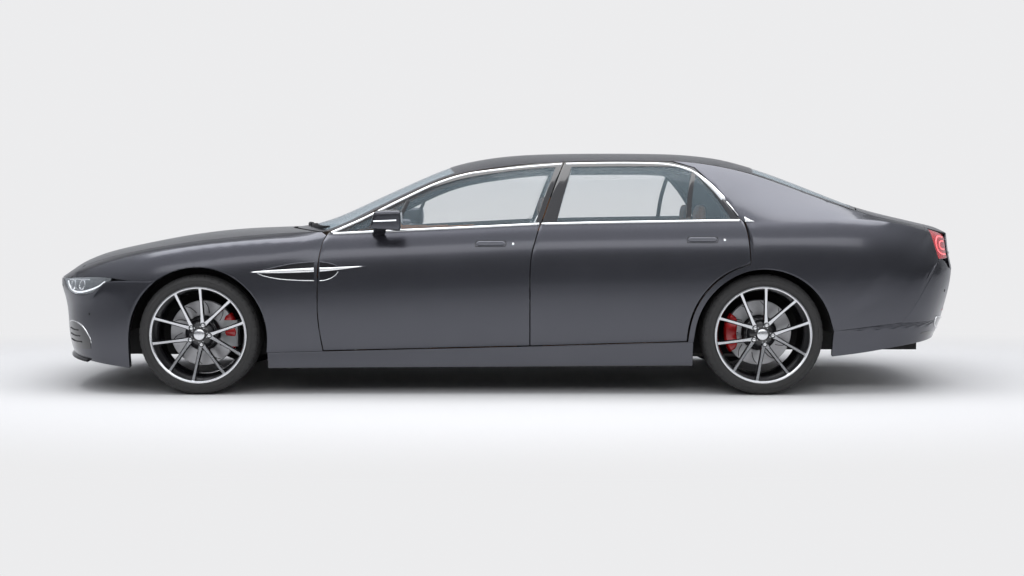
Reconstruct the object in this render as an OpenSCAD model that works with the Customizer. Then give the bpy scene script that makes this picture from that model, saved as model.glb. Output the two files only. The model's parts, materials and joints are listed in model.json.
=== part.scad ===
// Four-door luxury sedan: body panels, doors, lids, cabin, running gear and steered wheels.
// Frame: +X forward, +Y to the car's left, +Z up, origin on the ground under the middle.

/* [Running gear] */
// Distance between the axles
wheelbase = 3190; // [2950:10:3400]
// Front axle ahead of the origin
front_axle_x = 1735; // [1715:5:1755]
// Wheel centre plane from the middle, front
front_half_track = 795; // [780:1:805]
// Wheel centre plane from the middle, rear
rear_half_track = 790; // [775:1:800]
// Radius of the front tyres
front_tyre_r = 340; // [325:1:345]
// Radius of the rear tyres
rear_tyre_r = 342; // [325:1:348]
// Width of the front tyres
front_tyre_w = 245; // [215:5:255]
// Width of the rear tyres
rear_tyre_w = 290; // [245:5:295]
// Radius of the rim where the tyre seats
rim_r = 262; // [245:1:275]
// Radius of the brake discs
disc_r = 185; // [150:1:200]
// Thickness of the brake discs
disc_t = 32; // [20:1:40]
// Radius of the wheel spindle
spindle_r = 32; // [25:1:40]
// Radius of the steering swivel pin
swivel_r = 14; // [10:1:18]

/* [Panels] */
// Gap around doors, hood and boot lid
gap = 6; // [5:0.5:8]
// Gap at a welded or bolted seam
seam = 0.5; // [0.3:0.1:0.8]
// Gap where two curved panels meet
curve_seam = 0.9; // [0.6:0.1:0.9]
// Gap between a glass pane and its frame
glass_fit = 0.8; // [0.5:0.1:0.9]
// Thickness of the fenders and quarter panels
side_t = 30; // [20:1:40]
// Thickness of the hood
hood_t = 28; // [20:1:36]
// Thickness of the boot lid
lid_t = 30; // [20:1:40]
// Thickness of the roof with its lining
roof_t = 40; // [30:1:50]
// Thickness of the bumper covers
bumper_t = 30; // [20:1:40]
// Thickness of a door below the window line
door_t = 120; // [90:1:130]
// Thickness of a window frame
frame_t = 38; // [30:1:44]
// How far a door narrows towards its inner face
door_taper = 20; // [14:1:28]
// Radius of the hinge pins in the door gaps
hinge_r = 1.8; // [1.2:0.1:1.9]
// Depth of the axis of a door hinge behind the widest skin
hinge_depth = 3; // [3:0.5:6]

/* [Cabin] */
// Height of the floor's upper face
floor_z = 235; // [225:5:250]
// Thickness of the floor
floor_t = 50; // [40:1:70]
// Width of a front seat
seat_w = 530; // [480:5:560]
// Distance of a front seat's middle from the car's middle
seat_y = 385; // [365:5:400]
// Radius of the steering wheel
steering_r = 185; // [165:1:195]
// Radius of the steering column's shaft
column_r = 14; // [10:1:18]

/* [Clearances] */
// Running clearance of a shaft in its bore
running = 0.3; // [0.1:0.05:0.5]
// Clearance between bolted pieces that meet
seat_fit = 0.3; // [0.1:0.05:0.5]

/* [Hidden] */

paint = [0.20, 0.20, 0.24];
black = [0.08, 0.08, 0.09];
hide = [0.62, 0.40, 0.24];
silver = [0.75, 0.76, 0.78];
tint = [0.62, 0.74, 0.82, 0.6];

// Control points along the car: [station, value], front axle and rear axle at their drawn stations
drawn_wheelbase = 3190;
drawn_front = 1735;
stretch_front = -200;
stretch_rear = -1000;
front_x = drawn_front;
rear_x = drawn_front - drawn_wheelbase;

// Half-width of the body at its widest level
width_pts = [[-1850, 948], [-1456, 956], [-1000, 945], [0, 935], [1000, 926], [1735, 936], [1850, 936]];
// Height of the shoulder under the side windows
shoulder_pts = [[-2690, 850], [-2440, 918], [-2140, 978], [-1850, 985], [-1400, 980], [-850, 973],
    [-200, 960], [200, 941], [966, 905], [1300, 887], [1735, 846], [2064, 796], [2300, 742], [2500, 680],
    [2700, 630]];
// Height of the edge between the side and the top surfaces
edge_pts = [[-2640, 890], [-2440, 940], [-2140, 1000], [-1990, 1045], [-1690, 1152], [-1390, 1262],
    [-1090, 1318], [-866, 1328], [-330, 1325], [146, 1277], [325, 1238], [547, 1141], [777, 1026],
    [1000, 925], [1300, 909], [1735, 868], [2064, 818], [2300, 766], [2500, 706], [2600, 668]];
// Height of the top surface on the centre line
crown_pts = [[-2660, 935], [-2440, 982], [-2140, 1057], [-1840, 1176], [-1540, 1288], [-1239, 1364],
    [-939, 1387], [-600, 1389], [-113, 1382], [187, 1345], [337, 1305], [723, 1142], [1150, 962],
    [1290, 938], [1613, 926], [1914, 894], [2214, 838], [2457, 782], [2597, 722], [2650, 690]];
// How far the cross lines of the top surface bow back at their ends
bow_pts = [[-2660, -150], [-2110, -110], [-1480, -60], [-500, 0], [337, 60], [1200, 220], [1310, 260],
    [2200, 250], [2640, 140]];
// Inset of the side from its widest level, by height over the shoulder
side_pts = [[-860, 75], [-790, 60], [-695, 45], [-610, 20], [-380, 0], [-190, 8], [-110, 20], [-40, 50],
    [0, 80]];
// More inset above the shoulder, in the greenhouse
cabin_pts = [[0, 0], [60, 25], [160, 80], [260, 135], [360, 220], [420, 290]];
// More inset above the shoulder, on the fenders and the boot
round_pts = [[0, 0], [10, 30], [22, 80], [40, 160], [120, 330]];
// How much more the greenhouse leans in towards the rear
lean_pts = [[-2100, 3], [-1690, 2], [-900, 1], [1300, 1]];
// Where the fender rounding replaces the greenhouse lean, 0 to 1
round_share_pts = [[-2200, 1], [-1900, 0], [-1000, 0], [950, 0], [1250, 1], [1300, 1]];
// Front and rear ends on the centre line, by height
nose_pts = [[150, 2560], [205, 2612], [300, 2640], [490, 2650], [620, 2698], [690, 2676], [800, 2600],
    [950, 2500]];
tail_pts = [[210, -2530], [300, -2590], [450, -2646], [706, -2698], [800, -2676], [930, -2672]];
nose_from = 1850;
tail_from = -1850;
nose_power = 2.75;
tail_power = 2.7;
crown_power = 2.2;

// Door outlines, [height, station]
door_front_pts = [[240, 1030], [465, 1059], [728, 1056], [866, 1033], [905, 1010]];
door_split_pts = [[270, -139], [717, -139], [960, -196], [1330, -345]];
sill_line_pts = [[-1100, 305], [-139, 277], [1330, 243]];

arch_front_r = 395;
arch_front_z = 328;
arch_rear_r = 392;
arch_rear_z = 322;
arch_lip = 36;

// Curves and surfaces

function mix(a, b, t) = a + (b - a) * t;
function span(t, x, i = 0) = i >= len(t) - 2 || x <= t[i + 1][0] ? i : span(t, x, i + 1);
function rise(t, i) = (t[i + 1][1] - t[i][1]) / (t[i + 1][0] - t[i][0]);
function blend_slope(a, b) = a * b <= 0 ? 0 : 2 * a * b / (a + b);
function knot_slope(t, i) =
    i == 0 ? rise(t, 0)
    : i == len(t) - 1 ? rise(t, i - 1)
    : blend_slope(rise(t, i - 1), rise(t, i));
function cubic(a, b, ma, mb, u) =
    a * (1 + 2 * u) * (1 - u) * (1 - u) + ma * u * (1 - u) * (1 - u)
    + b * u * u * (3 - 2 * u) + mb * u * u * (u - 1);
// Smooth value at x through the control points, with straight ends
function at(t, x) =
    x <= t[0][0] ? t[0][1] + rise(t, 0) * (x - t[0][0])
    : x >= t[len(t) - 1][0] ? t[len(t) - 1][1] + rise(t, len(t) - 2) * (x - t[len(t) - 1][0])
    : let (i = span(t, x), h = t[i + 1][0] - t[i][0])
      cubic(t[i][1], t[i + 1][1], knot_slope(t, i) * h, knot_slope(t, i + 1) * h, (x - t[i][0]) / h);
// Value at x with level ends
function held(t, x) = at(t, min(max(x, t[0][0]), t[len(t) - 1][0]));

// The rear half moves with the wheelbase: the rear doors take up the change
function station(x) =
    x - drawn_front + front_axle_x
    - (wheelbase - drawn_wheelbase)
    * min(1, max(0, (stretch_front - x) / (stretch_front - stretch_rear)));
function placed(p) = [station(p[0]), p[1], p[2]];

function shoulder(x) = at(shoulder_pts, x);
function edge_z(x) = at(edge_pts, x);
function inset(x, z) =
    let (up = z - shoulder(x), share = held(round_share_pts, x))
    up <= 0 ? held(side_pts, up)
    : 80 + mix(at(cabin_pts, up) * held(lean_pts, x), at(round_pts, up), share);
function end_taper(run, reach, power) =
    run <= 0 ? 1 : pow(max(0, 1 - pow(min(1, run / reach), power)), 1 / power);
function nose_reach(z) = held(nose_pts, z) - nose_from;
function tail_reach(z) = tail_from - held(tail_pts, z);
// Half-width of the body's side at a station and height
function side_y(x, z) =
    (held(width_pts, x) - inset(x, z))
    * end_taper(x - nose_from, nose_reach(z), nose_power)
    * end_taper(tail_from - x, tail_reach(z), tail_power);
function side_pt(x, z) = [x, side_y(x, z), z];
// Point of the nose at an angle from straight ahead, and of the tail from straight behind
function nose_pt(a, z) =
    let (x = nose_from + nose_reach(z) * pow(max(0, cos(a)), 2 / nose_power))
    [x, (held(width_pts, x) - inset(x, z)) * sign(a) * pow(abs(sin(a)), 2 / nose_power), z];
function nose_angle(x, z) = acos(pow((x - nose_from) / nose_reach(z), nose_power / 2));
function tail_pt(a, z) =
    let (x = tail_from - tail_reach(z) * pow(max(0, cos(a)), 2 / tail_power))
    [x, (held(width_pts, x) - inset(x, z)) * sign(a) * pow(abs(sin(a)), 2 / tail_power), z];
function tail_angle(x, z) =
    x >= tail_from ? 90 : acos(pow((tail_from - x) / tail_reach(z), tail_power / 2));
// Point of the top surface on the cross line that starts at xc, s from -1 to 1 across
function top_pt(xc, s) =
    let (bow = held(bow_pts, xc), xe = xc - bow, ze = edge_z(xe), ye = side_y(xe, ze))
    [xc - bow * s * s, ye * s, ze + (held(crown_pts, xc) - ze) * (1 - pow(abs(s), crown_power))];

// Panels: a grid of outer points, rows first, and an inner grid behind it

function unit(v) = v / norm(v);
function grid_normal(g, i, j) =
    let (n = len(g[0]) - 1, m = len(g) - 1)
    unit(cross(g[j][min(n, i + 1)] - g[j][max(0, i - 1)], g[min(m, j + 1)][i] - g[max(0, j - 1)][i]));
// Inner grid: each point goes in along the normal by its row's thickness
function behind(g, thick) =
    [for (j = [0 : len(g) - 1]) [for (i = [0 : len(g[0]) - 1]) g[j][i] - grid_normal(g, i, j) * thick(i, j)]];
// Inner grid of a side panel: each point goes in square to the side surface
function side_slope_x(x, z) = (side_y(x + 1, z) - side_y(x - 1, z)) / 2;
function side_slope_z(x, z) = (side_y(x, z + 1) - side_y(x, z - 1)) / 2;
function side_normal(p) = unit([-side_slope_x(p[0], p[2]), 1, -side_slope_z(p[0], p[2])]);
function side_behind(g, thick) =
    [for (j = [0 : len(g) - 1]) [for (i = [0 : len(g[0]) - 1]) g[j][i] - side_normal(g[j][i]) * thick(i, j)]];
// Grids of a panel that wraps an end of the car, from [angle, height] pairs
function wrap_out(skin, g) = [for (r = g) [for (q = r) skin(q[0], q[1])]];
function wrap_normal(skin, q) =
    unit(cross(skin(q[0] + 0.5, q[1]) - skin(q[0] - 0.5, q[1]), skin(q[0], q[1] + 1) - skin(q[0], q[1] - 1)));
function wrap_in(skin, g, thick) =
    [for (r = g) [for (q = r) skin(q[0], q[1]) - wrap_normal(skin, q) * thick]];
function between(g, h, t) =
    [for (j = [0 : len(g) - 1]) [for (i = [0 : len(g[0]) - 1]) mix(g[j][i], h[j][i], t)]];
function part_of(g, i0, i1, j0, j1) = [for (j = [j0 : j1]) [for (i = [i0 : i1]) g[j][i]]];
// Grid drawn in at its border by a fit, towards the neighbouring points
function pulled(p, q, fit) = p + unit(q - p) * min(fit, norm(q - p) / 2);
function drawn_in(g, fit) =
    let (n = len(g[0]) - 1, m = len(g) - 1,
         a = [for (r = g) [for (i = [0 : n])
             i == 0 ? pulled(r[0], r[1], fit) : i == n ? pulled(r[n], r[n - 1], fit) : r[i]]])
    [for (j = [0 : m]) [for (i = [0 : n])
        j == 0 ? pulled(a[0][i], a[1][i], fit) : j == m ? pulled(a[m][i], a[m - 1][i], fit) : a[j][i]]];

// A wall from edge a-b to the inner grid; both walls of a seam are split along the same diagonal
function wall_faces(a, b, k) = [[a, b, b + k], [a, b + k, a + k]];
function far_wall_faces(a, b, k) = [[a, b, a + k], [b, b + k, a + k]];
function cell_faces(a, b, c, d, k) =
    [[a, c, b], [a, d, c], [a + k, b + k, c + k], [a + k, c + k, d + k]];
// Closed panel between two grids; cells where full is false are left open, and columns where
// flip is true have their low and high walls split the other way, as on a mirrored panel
module panel(outer, inner, full = function(i, j) true, flip = function(i) false) {
    n = len(outer[0]) - 1;
    m = len(outer) - 1;
    k = (n + 1) * (m + 1);
    has = function(i, j) i >= 0 && j >= 0 && i < n && j < m && full(i, j);
    faces = [for (j = [0 : m - 1]) for (i = [0 : n - 1]) if (has(i, j))
        let (a = j * (n + 1) + i, b = a + 1, c = b + n + 1, d = a + n + 1)
        each concat(
            cell_faces(a, b, c, d, k),
            has(i, j - 1) ? [] : flip(i) ? wall_faces(a, b, k) : far_wall_faces(a, b, k),
            has(i + 1, j) ? [] : wall_faces(b, c, k),
            has(i, j + 1) ? [] : flip(i) ? far_wall_faces(c, d, k) : wall_faces(c, d, k),
            has(i - 1, j) ? [] : far_wall_faces(d, a, k))];
    polyhedron([for (g = [outer, inner]) for (r = g) for (p = r) placed(p)], faces, 4);
}
// Glass that lies in an open part of a panel, between two shares of the panel's depth
module pane(outer, inner, i0, i1, j0, j1) {
    g = part_of(outer, i0, i1, j0, j1);
    h = part_of(inner, i0, i1, j0, j1);
    panel(drawn_in(between(g, h, pane_from), glass_fit), drawn_in(between(g, h, pane_to), glass_fit));
}
pane_from = 0.04;
pane_to = 0.16;

module both_sides() {
    children();
    mirror([0, 1, 0]) children();
}
module on_side(side) {
    if (side > 0) children();
    else mirror([0, 1, 0]) children();
}
function steps(a, b, n) = [for (i = [0 : n]) mix(a, b, i / n)];

// Doors

function sill_line(x) = at(sill_line_pts, x);
function sill_top(x) = sill_line(min(max(x, -1100), 1330)) - gap / 2;
// Level w between the window line and the roof edge: 0.1 and 0.9 are the edges of the glass
function window_level(x, w, top) =
    let (low = shoulder(x), tall = top - low, a = low + min(15, 0.3 * tall), b = top - min(28, 0.35 * tall))
    w <= 0.1 ? mix(low, a, w / 0.1) : w >= 0.9 ? mix(b, top, (w - 0.9) / 0.1) : mix(a, b, (w - 0.1) / 0.8);
function arch_edge_x(z) =
    rear_x + sqrt(max(0, pow(arch_rear_r + arch_lip, 2) - pow(z - arch_rear_z, 2)));
door_rear_pts = [[745, -1378], [800, -1374], [888, -1367], [961, -1354], [1000, -1330], [1185, -1200],
    [1288, -1085], [1322, -960]];
function door_front_x(z) = at(concat(door_front_pts, [[925, 1000]]), z);
function door_split_x(z) = at(door_split_pts, z);
function door_rear_x(z) = z > 746 ? at(door_rear_pts, z) : max(door_rear_pts[0][1], arch_edge_x(z));

// Grid of a door: fx and rx give its ends, belt_f to top_r the heights where its ends turn
function door_grid(fx, rx, ends, us, vs, ws) =
    let (low_f = ends[0], belt_f = ends[1], top_f = ends[2],
         low_r = ends[3], belt_r = ends[4], top_r = ends[5])
    concat(
        [for (v = vs) [for (u = us)
            let (zf = mix(low_f, belt_f, v), zr = mix(low_r, belt_r, v),
                 x = mix(fx(zf) - gap / 2, rx(zr) + gap / 2, u), level = mix(belt_f, belt_r, u))
            side_pt(x, mix(zf, zr, u) + (shoulder(x) - level) * v * 4 * u * (1 - u))]],
        [for (w = ws) [for (u = us)
            let (x = mix(fx(mix(belt_f, top_f, w)) - gap / 2, rx(mix(belt_r, top_r, w)) + gap / 2, u))
            side_pt(x, window_level(x, w, edge_z(x) - gap))]]);
upper_levels = [0.1, 0.37, 0.64, 0.9, 1];
front_us = [0, 0.09, 0.2, 0.32, 0.44, 0.56, 0.68, 0.8, 0.9, 0.975, 1];
front_vs = [0, 0.1, 0.22, 0.35, 0.5, 0.65, 0.78, 0.88, 0.95, 1];
rear_us = [0, 0.07, 0.17, 0.28, 0.4, 0.52, 0.64, 0.76, 0.87, 0.965, 1];
rear_vs = [0, 0.12, 0.25, 0.38, 0.5, 0.57, 0.61, 0.64, 0.66, 0.75, 0.84, 0.93, 1];
front_ends = [sill_line(1030) + gap / 2, shoulder(1010), edge_z(1000) - gap,
    sill_line(-139) + gap / 2, shoulder(-196), edge_z(-345) - gap];
rear_ends = [sill_line(-139) + gap / 2, shoulder(-196), edge_z(-345) - gap,
    sill_line(-1030) + gap / 2, shoulder(-1352), edge_z(-960) - gap];
front_door_outer = door_grid(function(z) door_front_x(z), function(z) door_split_x(z),
    front_ends, front_us, front_vs, upper_levels);
rear_door_outer = door_grid(function(z) door_split_x(z), function(z) door_rear_x(z),
    rear_ends, rear_us, rear_vs, upper_levels);
function door_inner(outer, low_rows) =
    side_behind(drawn_in(outer, door_taper),
        function(i, j) j < low_rows - 1 ? door_t : j == low_rows - 1 ? 0.8 * door_t : frame_t);
// The rear end of the front door's inner face keeps to the line between the doors at its own height
function along_split(p, q) = p + [door_split_x(p[2]) - door_split_x(q[2]), 0, 0];
front_door_behind = door_inner(front_door_outer, len(front_vs));
front_door_inner = [for (j = [0 : len(front_door_outer) - 1]) [for (i = [0 : len(front_us) - 1])
    i < len(front_us) - 2 ? front_door_behind[j][i]
    : along_split(front_door_behind[j][i], front_door_outer[j][i])]];
rear_door_inner = door_inner(rear_door_outer, len(rear_vs));
window_rows = 3;
module door(outer, inner, low_rows) {
    last = len(outer[0]) - 2;
    color(paint) panel(outer, inner,
        function(i, j) i < 1 || i >= last || j < low_rows || j >= low_rows + window_rows);
}
module door_glass(outer, inner, low_rows) {
    color(tint) pane(outer, inner, 1, len(outer[0]) - 2, low_rows, low_rows + window_rows);
}
module front_door(side) {
    on_side(side) door(front_door_outer, front_door_inner, len(front_vs));
}
module rear_door(side) {
    on_side(side) door(rear_door_outer, rear_door_inner, len(rear_vs));
}
module front_glass(side) {
    on_side(side) door_glass(front_door_outer, front_door_inner, len(front_vs));
}
module rear_glass(side) {
    on_side(side) door_glass(rear_door_outer, rear_door_inner, len(rear_vs));
}
// Door hinge axes, in the middle of the gaps over the height of the hinges
hinge_mid_z = 565;
hinge_set_back = 0.4;
function hinge_at(x) = [x - hinge_set_back, held(width_pts, x) - hinge_depth];
front_hinge = hinge_at(door_front_x(hinge_mid_z));
rear_hinge = hinge_at(door_split_x(hinge_mid_z));

// Fenders and quarter panels: strips between the wheel arch and the panel's outer edge

function arch_pt(x, z, r, a) = [x + r * cos(a), z + r * sin(a)];
function front_arch(a) = arch_pt(front_x, arch_front_z, arch_front_r, a);
function rear_arch(a) = arch_pt(rear_x, arch_rear_z, arch_rear_r, a);
function door_gap_pt(z) = [door_front_x(z) + gap / 2, z];
function edge_pt(x) = [x, edge_z(x) - seam];
bumper_top_z = 646;
fender_ribs = concat(
    [[front_arch(180 + asin((arch_front_z - sill_top(1349) - seam) / arch_front_r)),
      door_gap_pt(sill_top(1034) + seam)]],
    [for (k = [[180, 330], [167, 430], [154, 530], [141, 640], [130, 740], [121, 850], [115, 902]])
        [front_arch(k[0]), door_gap_pt(k[1])]],
    [for (k = [[111, 1045], [106, 1130], [101, 1230], [97, 1330], [93, 1440], [88, 1550], [82, 1660],
               [76, 1770], [69, 1880], [61.5, 1990], [53.7, 2100]])
        [front_arch(k[0]), edge_pt(k[1])]],
    [[[2050, bumper_top_z], edge_pt(2190)], [[2130, bumper_top_z], edge_pt(2260)],
     [[2205, 658], edge_pt(2325)], [[2300, 668], edge_pt(2395)], [[2390, 662], edge_pt(2445)],
     [[2505, 653], [2489, 694]]]);
function strip(ribs, rows) =
    [for (v = rows) [for (r = ribs) let (p = mix(r[0], r[1], v)) side_pt(p[0], p[1])]];
fender_vs = [0, 0.08, 0.24, 0.4, 0.56, 0.7, 0.84, 0.94, 1];
fender_outer = strip(fender_ribs, fender_vs);
// The edge beside the hood goes straight down, clear of the hood's own edge
fender_flange = [0, 2, side_t];
fender_behind = side_behind(fender_outer, function(i, j) side_t);
fender_last = len(fender_vs) - 1;
hood_rib = 8;
fender_inner = [for (j = [0 : fender_last]) [for (i = [0 : len(fender_ribs) - 1])
    j < fender_last || i < hood_rib ? fender_behind[j][i] : fender_outer[j][i] - fender_flange]];
module fenders() {
    color(paint) both_sides() panel(fender_outer, fender_inner);
}

// Seam between a quarter panel and the rear bumper, [height, station]
tail_end_pts = [[200, -1846], [362, -1852], [408, -2243], [454, -2290], [762, -2497]];
function straight(t, x) = let (i = span(t, x)) t[i][1] + rise(t, i) * (x - t[i][0]);
tail_low_levels = [216, 250, 300];
tail_seam_levels = [362, 372, 382, 392, 400, 408, 454, 492, 530, 610, 690, 762];
tail_levels = concat(tail_low_levels, tail_seam_levels);
quarter_low = [0, 0.12, 0.3, 0.48, 0.66, 0.84, 1];
quarter_front = concat(
    [for (a = [asin((sill_top(-1062) + seam - arch_rear_z) / arch_rear_r), 14, 32, 50, 66, 76, 79.9])
        [rear_arch(a), arch_pt(rear_x, arch_rear_z, arch_rear_r + arch_lip - gap, a)]],
    [for (k = [[83, 800], [87, 880]]) [rear_arch(k[0]), [door_rear_x(k[1]) - gap / 2, k[1]]]]);
// Columns that rise over the shoulder into the rear pillar and along the boot lid
pillar_xs = [-1352 - gap / 2, -1450, -1560, -1680, -1800, -1900, -2000, -2090, -2180, -2260, -2320, -2370,
    -2410, -2445];
pillar_angles = [91, 98, 105, 113, 121, 129, 137, 145, 153, 161, 168];
pillar_seams = [362, 382, 400];
function seam_pt(z) = [straight(tail_end_pts, z), z + curve_seam];
function pillar_foot(k) =
    k < len(pillar_angles) ? rear_arch(pillar_angles[k]) : seam_pt(pillar_seams[k - len(pillar_angles)]);
quarter_pillar = [for (k = [0 : len(pillar_xs) - 1])
    [pillar_foot(k), [pillar_xs[k], shoulder(pillar_xs[k])]]];
// Edge between a quarter panel and the tail lamp, [height, station]
lamp_end_pts = [[762, -2497], [774, -2488], [800, -2482], [825, -2473], [850, -2464], [874, -2457],
    [896, -2452], [938, -2445]];
quarter_back = [for (k = [[408, 896], [454, 874], [492, 862], [530, 850], [610, 825], [690, 800], [752, 774]])
    [seam_pt(k[0]), [straight(lamp_end_pts, k[1]), k[1]]]];
quarter_ribs = concat(quarter_front, quarter_pillar, quarter_back);
pillar_from = len(quarter_front);
pillar_count = len(pillar_xs);
function pillar_pt(k, w) =
    let (left = door_rear_x(mix(rear_ends[4], rear_ends[5], w)) - gap / 2,
         share = (pillar_xs[k] - pillar_xs[0]) / (pillar_xs[pillar_count - 1] - pillar_xs[0]),
         x = mix(left, pillar_xs[pillar_count - 1], share))
    side_pt(x, window_level(x, w, edge_z(x) - seam));
quarter_outer = concat(
    strip(quarter_ribs, quarter_low),
    [for (w = upper_levels) [for (i = [0 : len(quarter_ribs) - 1])
        pillar_pt(min(max(0, i - pillar_from), pillar_count - 1), w)]]);
module quarter_panels() {
    rows = len(quarter_low) - 1;
    in_pillar = function(i, j) j < rows || (i >= pillar_from && i < pillar_from + pillar_count - 1);
    color(paint) both_sides()
        panel(quarter_outer, side_behind(quarter_outer, function(i, j) side_t), in_pillar);
}

// Roof with the pillars beside the windscreen and the rear window

across = [-1, -0.915, -0.75, -0.5, -0.25, 0, 0.25, 0.5, 0.75, 0.915, 1];
hood_back = 1316;
roof_rows = [1292, 1205, 1080, 950, 820, 690, 560, 440, 345, 250, 100, -100, -400, -700, -1000, -1130,
    -1250, -1340, -1420, -1490, -1600, -1720, -1850, -1980, -2075, -2104];
screen_rows = [1, 8];
backlight_rows = [19, 24];
roof_outer = [for (x = roof_rows) [for (s = across) top_pt(x, s)]];
// The roof's sides go straight in, over the doors and the quarter panels
roof_behind = behind(roof_outer, function(i, j) roof_t);
roof_inner = [for (j = [0 : len(roof_rows) - 1]) [for (i = [0 : len(across) - 1])
    abs(across[i]) < 1 ? roof_behind[j][i] : roof_outer[j][i] - [0, roof_t * across[i], 0]]];
function in_rows(j, r) = j >= r[0] && j < r[1];
module roof_shell() {
    glazed = function(j) in_rows(j, screen_rows) || in_rows(j, backlight_rows);
    color(paint) panel(roof_outer, roof_inner,
        function(i, j) i < 1 || i >= len(across) - 2 || !glazed(j));
}
module windscreen() {
    color(tint) pane(roof_outer, roof_inner, 1, len(across) - 2, screen_rows[0], screen_rows[1]);
}
module rear_window() {
    color(tint) pane(roof_outer, roof_inner, 1, len(across) - 2, backlight_rows[0], backlight_rows[1]);
}

// Boot lid

lid_rows = [-2112, -2200, -2300, -2400, -2500, -2590, -2642];
lid_face = [905, 870, 820, 765, 706];
lid_corner = 33;
lamp_low_z = 762;
function lid_half(z) = tail_pt(lid_corner, max(z, lamp_low_z))[1] - gap;
lid_across = [-0.99, -0.85, -0.65, -0.43, -0.2, 0, 0.2, 0.43, 0.65, 0.85, 0.99];
function tail_face(y, z) =
    let (half = held(width_pts, tail_from) - inset(-2500, z))
    [tail_from - tail_reach(z) * pow(1 - pow(abs(y) / half, tail_power), 1 / tail_power), y, z];
lid_outer = concat(
    [for (x = lid_rows) [for (s = lid_across) top_pt(x, s)]],
    [for (z = lid_face) [for (s = lid_across) tail_face(s * lid_half(z), z)]]);
module boot_lid() {
    color(paint) panel(lid_outer, behind(drawn_in(lid_outer, 10), function(i, j) lid_t));
}

// Bumpers, lamps and grille

nose_half_us = [0.1, 0.19, 0.28, 0.335, 0.39, 0.46, 0.53, 0.61, 0.7, 0.78, 0.82, 0.88, 0.94, 1];
nose_us = concat([for (i = [len(nose_half_us) - 1 : -1 : 0]) -nose_half_us[i]], [0], nose_half_us);
lamp_us = [for (u = nose_half_us) if (u >= 0.39 && u <= 0.82) u];
grille_half_cols = 3;
grille_rows = [2, 5];
// Height of the front bumper's top by angle from straight ahead
bumper_top_pts = [[0, 632], [22, 638], [33, 642], [39, 590], [48, 556], [60, 572], [70, bumper_top_z - seam],
    [90, bumper_top_z - seam]];
function front_arch_x(z) =
    front_x + sqrt(max(0, pow(arch_front_r, 2) - pow(max(0, z - arch_front_z), 2)));
function bumper_low_z(u) = 200 - 50 * u * u;
nose_levels = [0, 0.06, 0.22, 0.4, 0.58, 0.76, 0.9, 1];
function bumper_end_angle(v) =
    let (z = mix(bumper_low_z(1), bumper_top_z - seam, v)) nose_angle(front_arch_x(z), z);
top_angle = bumper_end_angle(1);
bumper_grid = [for (v = nose_levels) [for (u = nose_us)
    [u * bumper_end_angle(v), mix(bumper_low_z(u), held(bumper_top_pts, abs(u) * top_angle), v)]]];
nose_at = function(a, z) nose_pt(a, z);
front_bumper_outer = wrap_out(nose_at, bumper_grid);
front_bumper_inner = wrap_in(nose_at, bumper_grid, bumper_t);
nose_mid = len(nose_half_us);
grille_cols = [nose_mid - grille_half_cols, nose_mid + grille_half_cols];
function in_grille(i, j) =
    i >= grille_cols[0] && i < grille_cols[1] && j >= grille_rows[0] && j < grille_rows[1];
module front_bumper() {
    color(paint) panel(front_bumper_outer, front_bumper_inner, function(i, j) !in_grille(i, j),
        function(i) i < nose_mid);
}
module grille() {
    g = part_of(front_bumper_outer, grille_cols[0], grille_cols[1], grille_rows[0], grille_rows[1]);
    h = part_of(front_bumper_inner, grille_cols[0], grille_cols[1], grille_rows[0], grille_rows[1]);
    color(black) panel(drawn_in(between(g, h, 0.75), seam), drawn_in(between(g, h, 1), seam),
        flip = function(i) i < grille_half_cols);
}
// Headlamps: between the bumper's top and the fender's lower edge, [station, height]
fender_low_pts = [[2050, bumper_top_z], [2130, bumper_top_z], [2205, 658], [2300, 668], [2390, 662],
    [2475, 655], [2560, 648]];
function lamp_high(a, z = 655, n = 4) =
    n == 0 ? z : lamp_high(a, straight(fender_low_pts, nose_pt(a, z)[0]) - curve_seam, n - 1);
lamp_t = bumper_t;
lamp_grid = [for (v = [0, 0.33, 0.67, 1]) [for (u = lamp_us) let (a = u * top_angle)
    [a, mix(held(bumper_top_pts, a) + seam, lamp_high(a), v)]]];
module headlamps() {
    color(silver) both_sides() panel(wrap_out(nose_at, lamp_grid), wrap_in(nose_at, lamp_grid, lamp_t));
}

// Hood: its front edge follows the bumper and the headlamps

hood_corner = 44;
hood_taper = 12;
hood_lip_t = 6;
hood_side = 0.992;
hood_across = [-hood_side, -0.9, -0.72, -0.5, -0.25, 0, 0.25, 0.5, 0.72, 0.9, hood_side];
hood_rows = [2610, 2560, 2480, 2380, 2240, 2080, 1920, 1760, 1600, 1460, hood_back];
function hood_low(a) =
    gap + (a < lamp_us[0] * top_angle ? held(bumper_top_pts, a) : lamp_high(a) + curve_seam);
function hood_nose(a) = nose_pt(a, hood_low(abs(a)));
hood_outer = concat(
    [[for (s = hood_across) hood_nose(s / hood_side * hood_corner)]],
    [for (x = hood_rows) [for (s = hood_across) top_pt(x, s)]]);
module hood() {
    color(paint) panel(hood_outer,
        behind(drawn_in(hood_outer, hood_taper), function(i, j) j == 0 ? hood_lip_t : hood_t));
}

// Rear bumper and lamps

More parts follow.
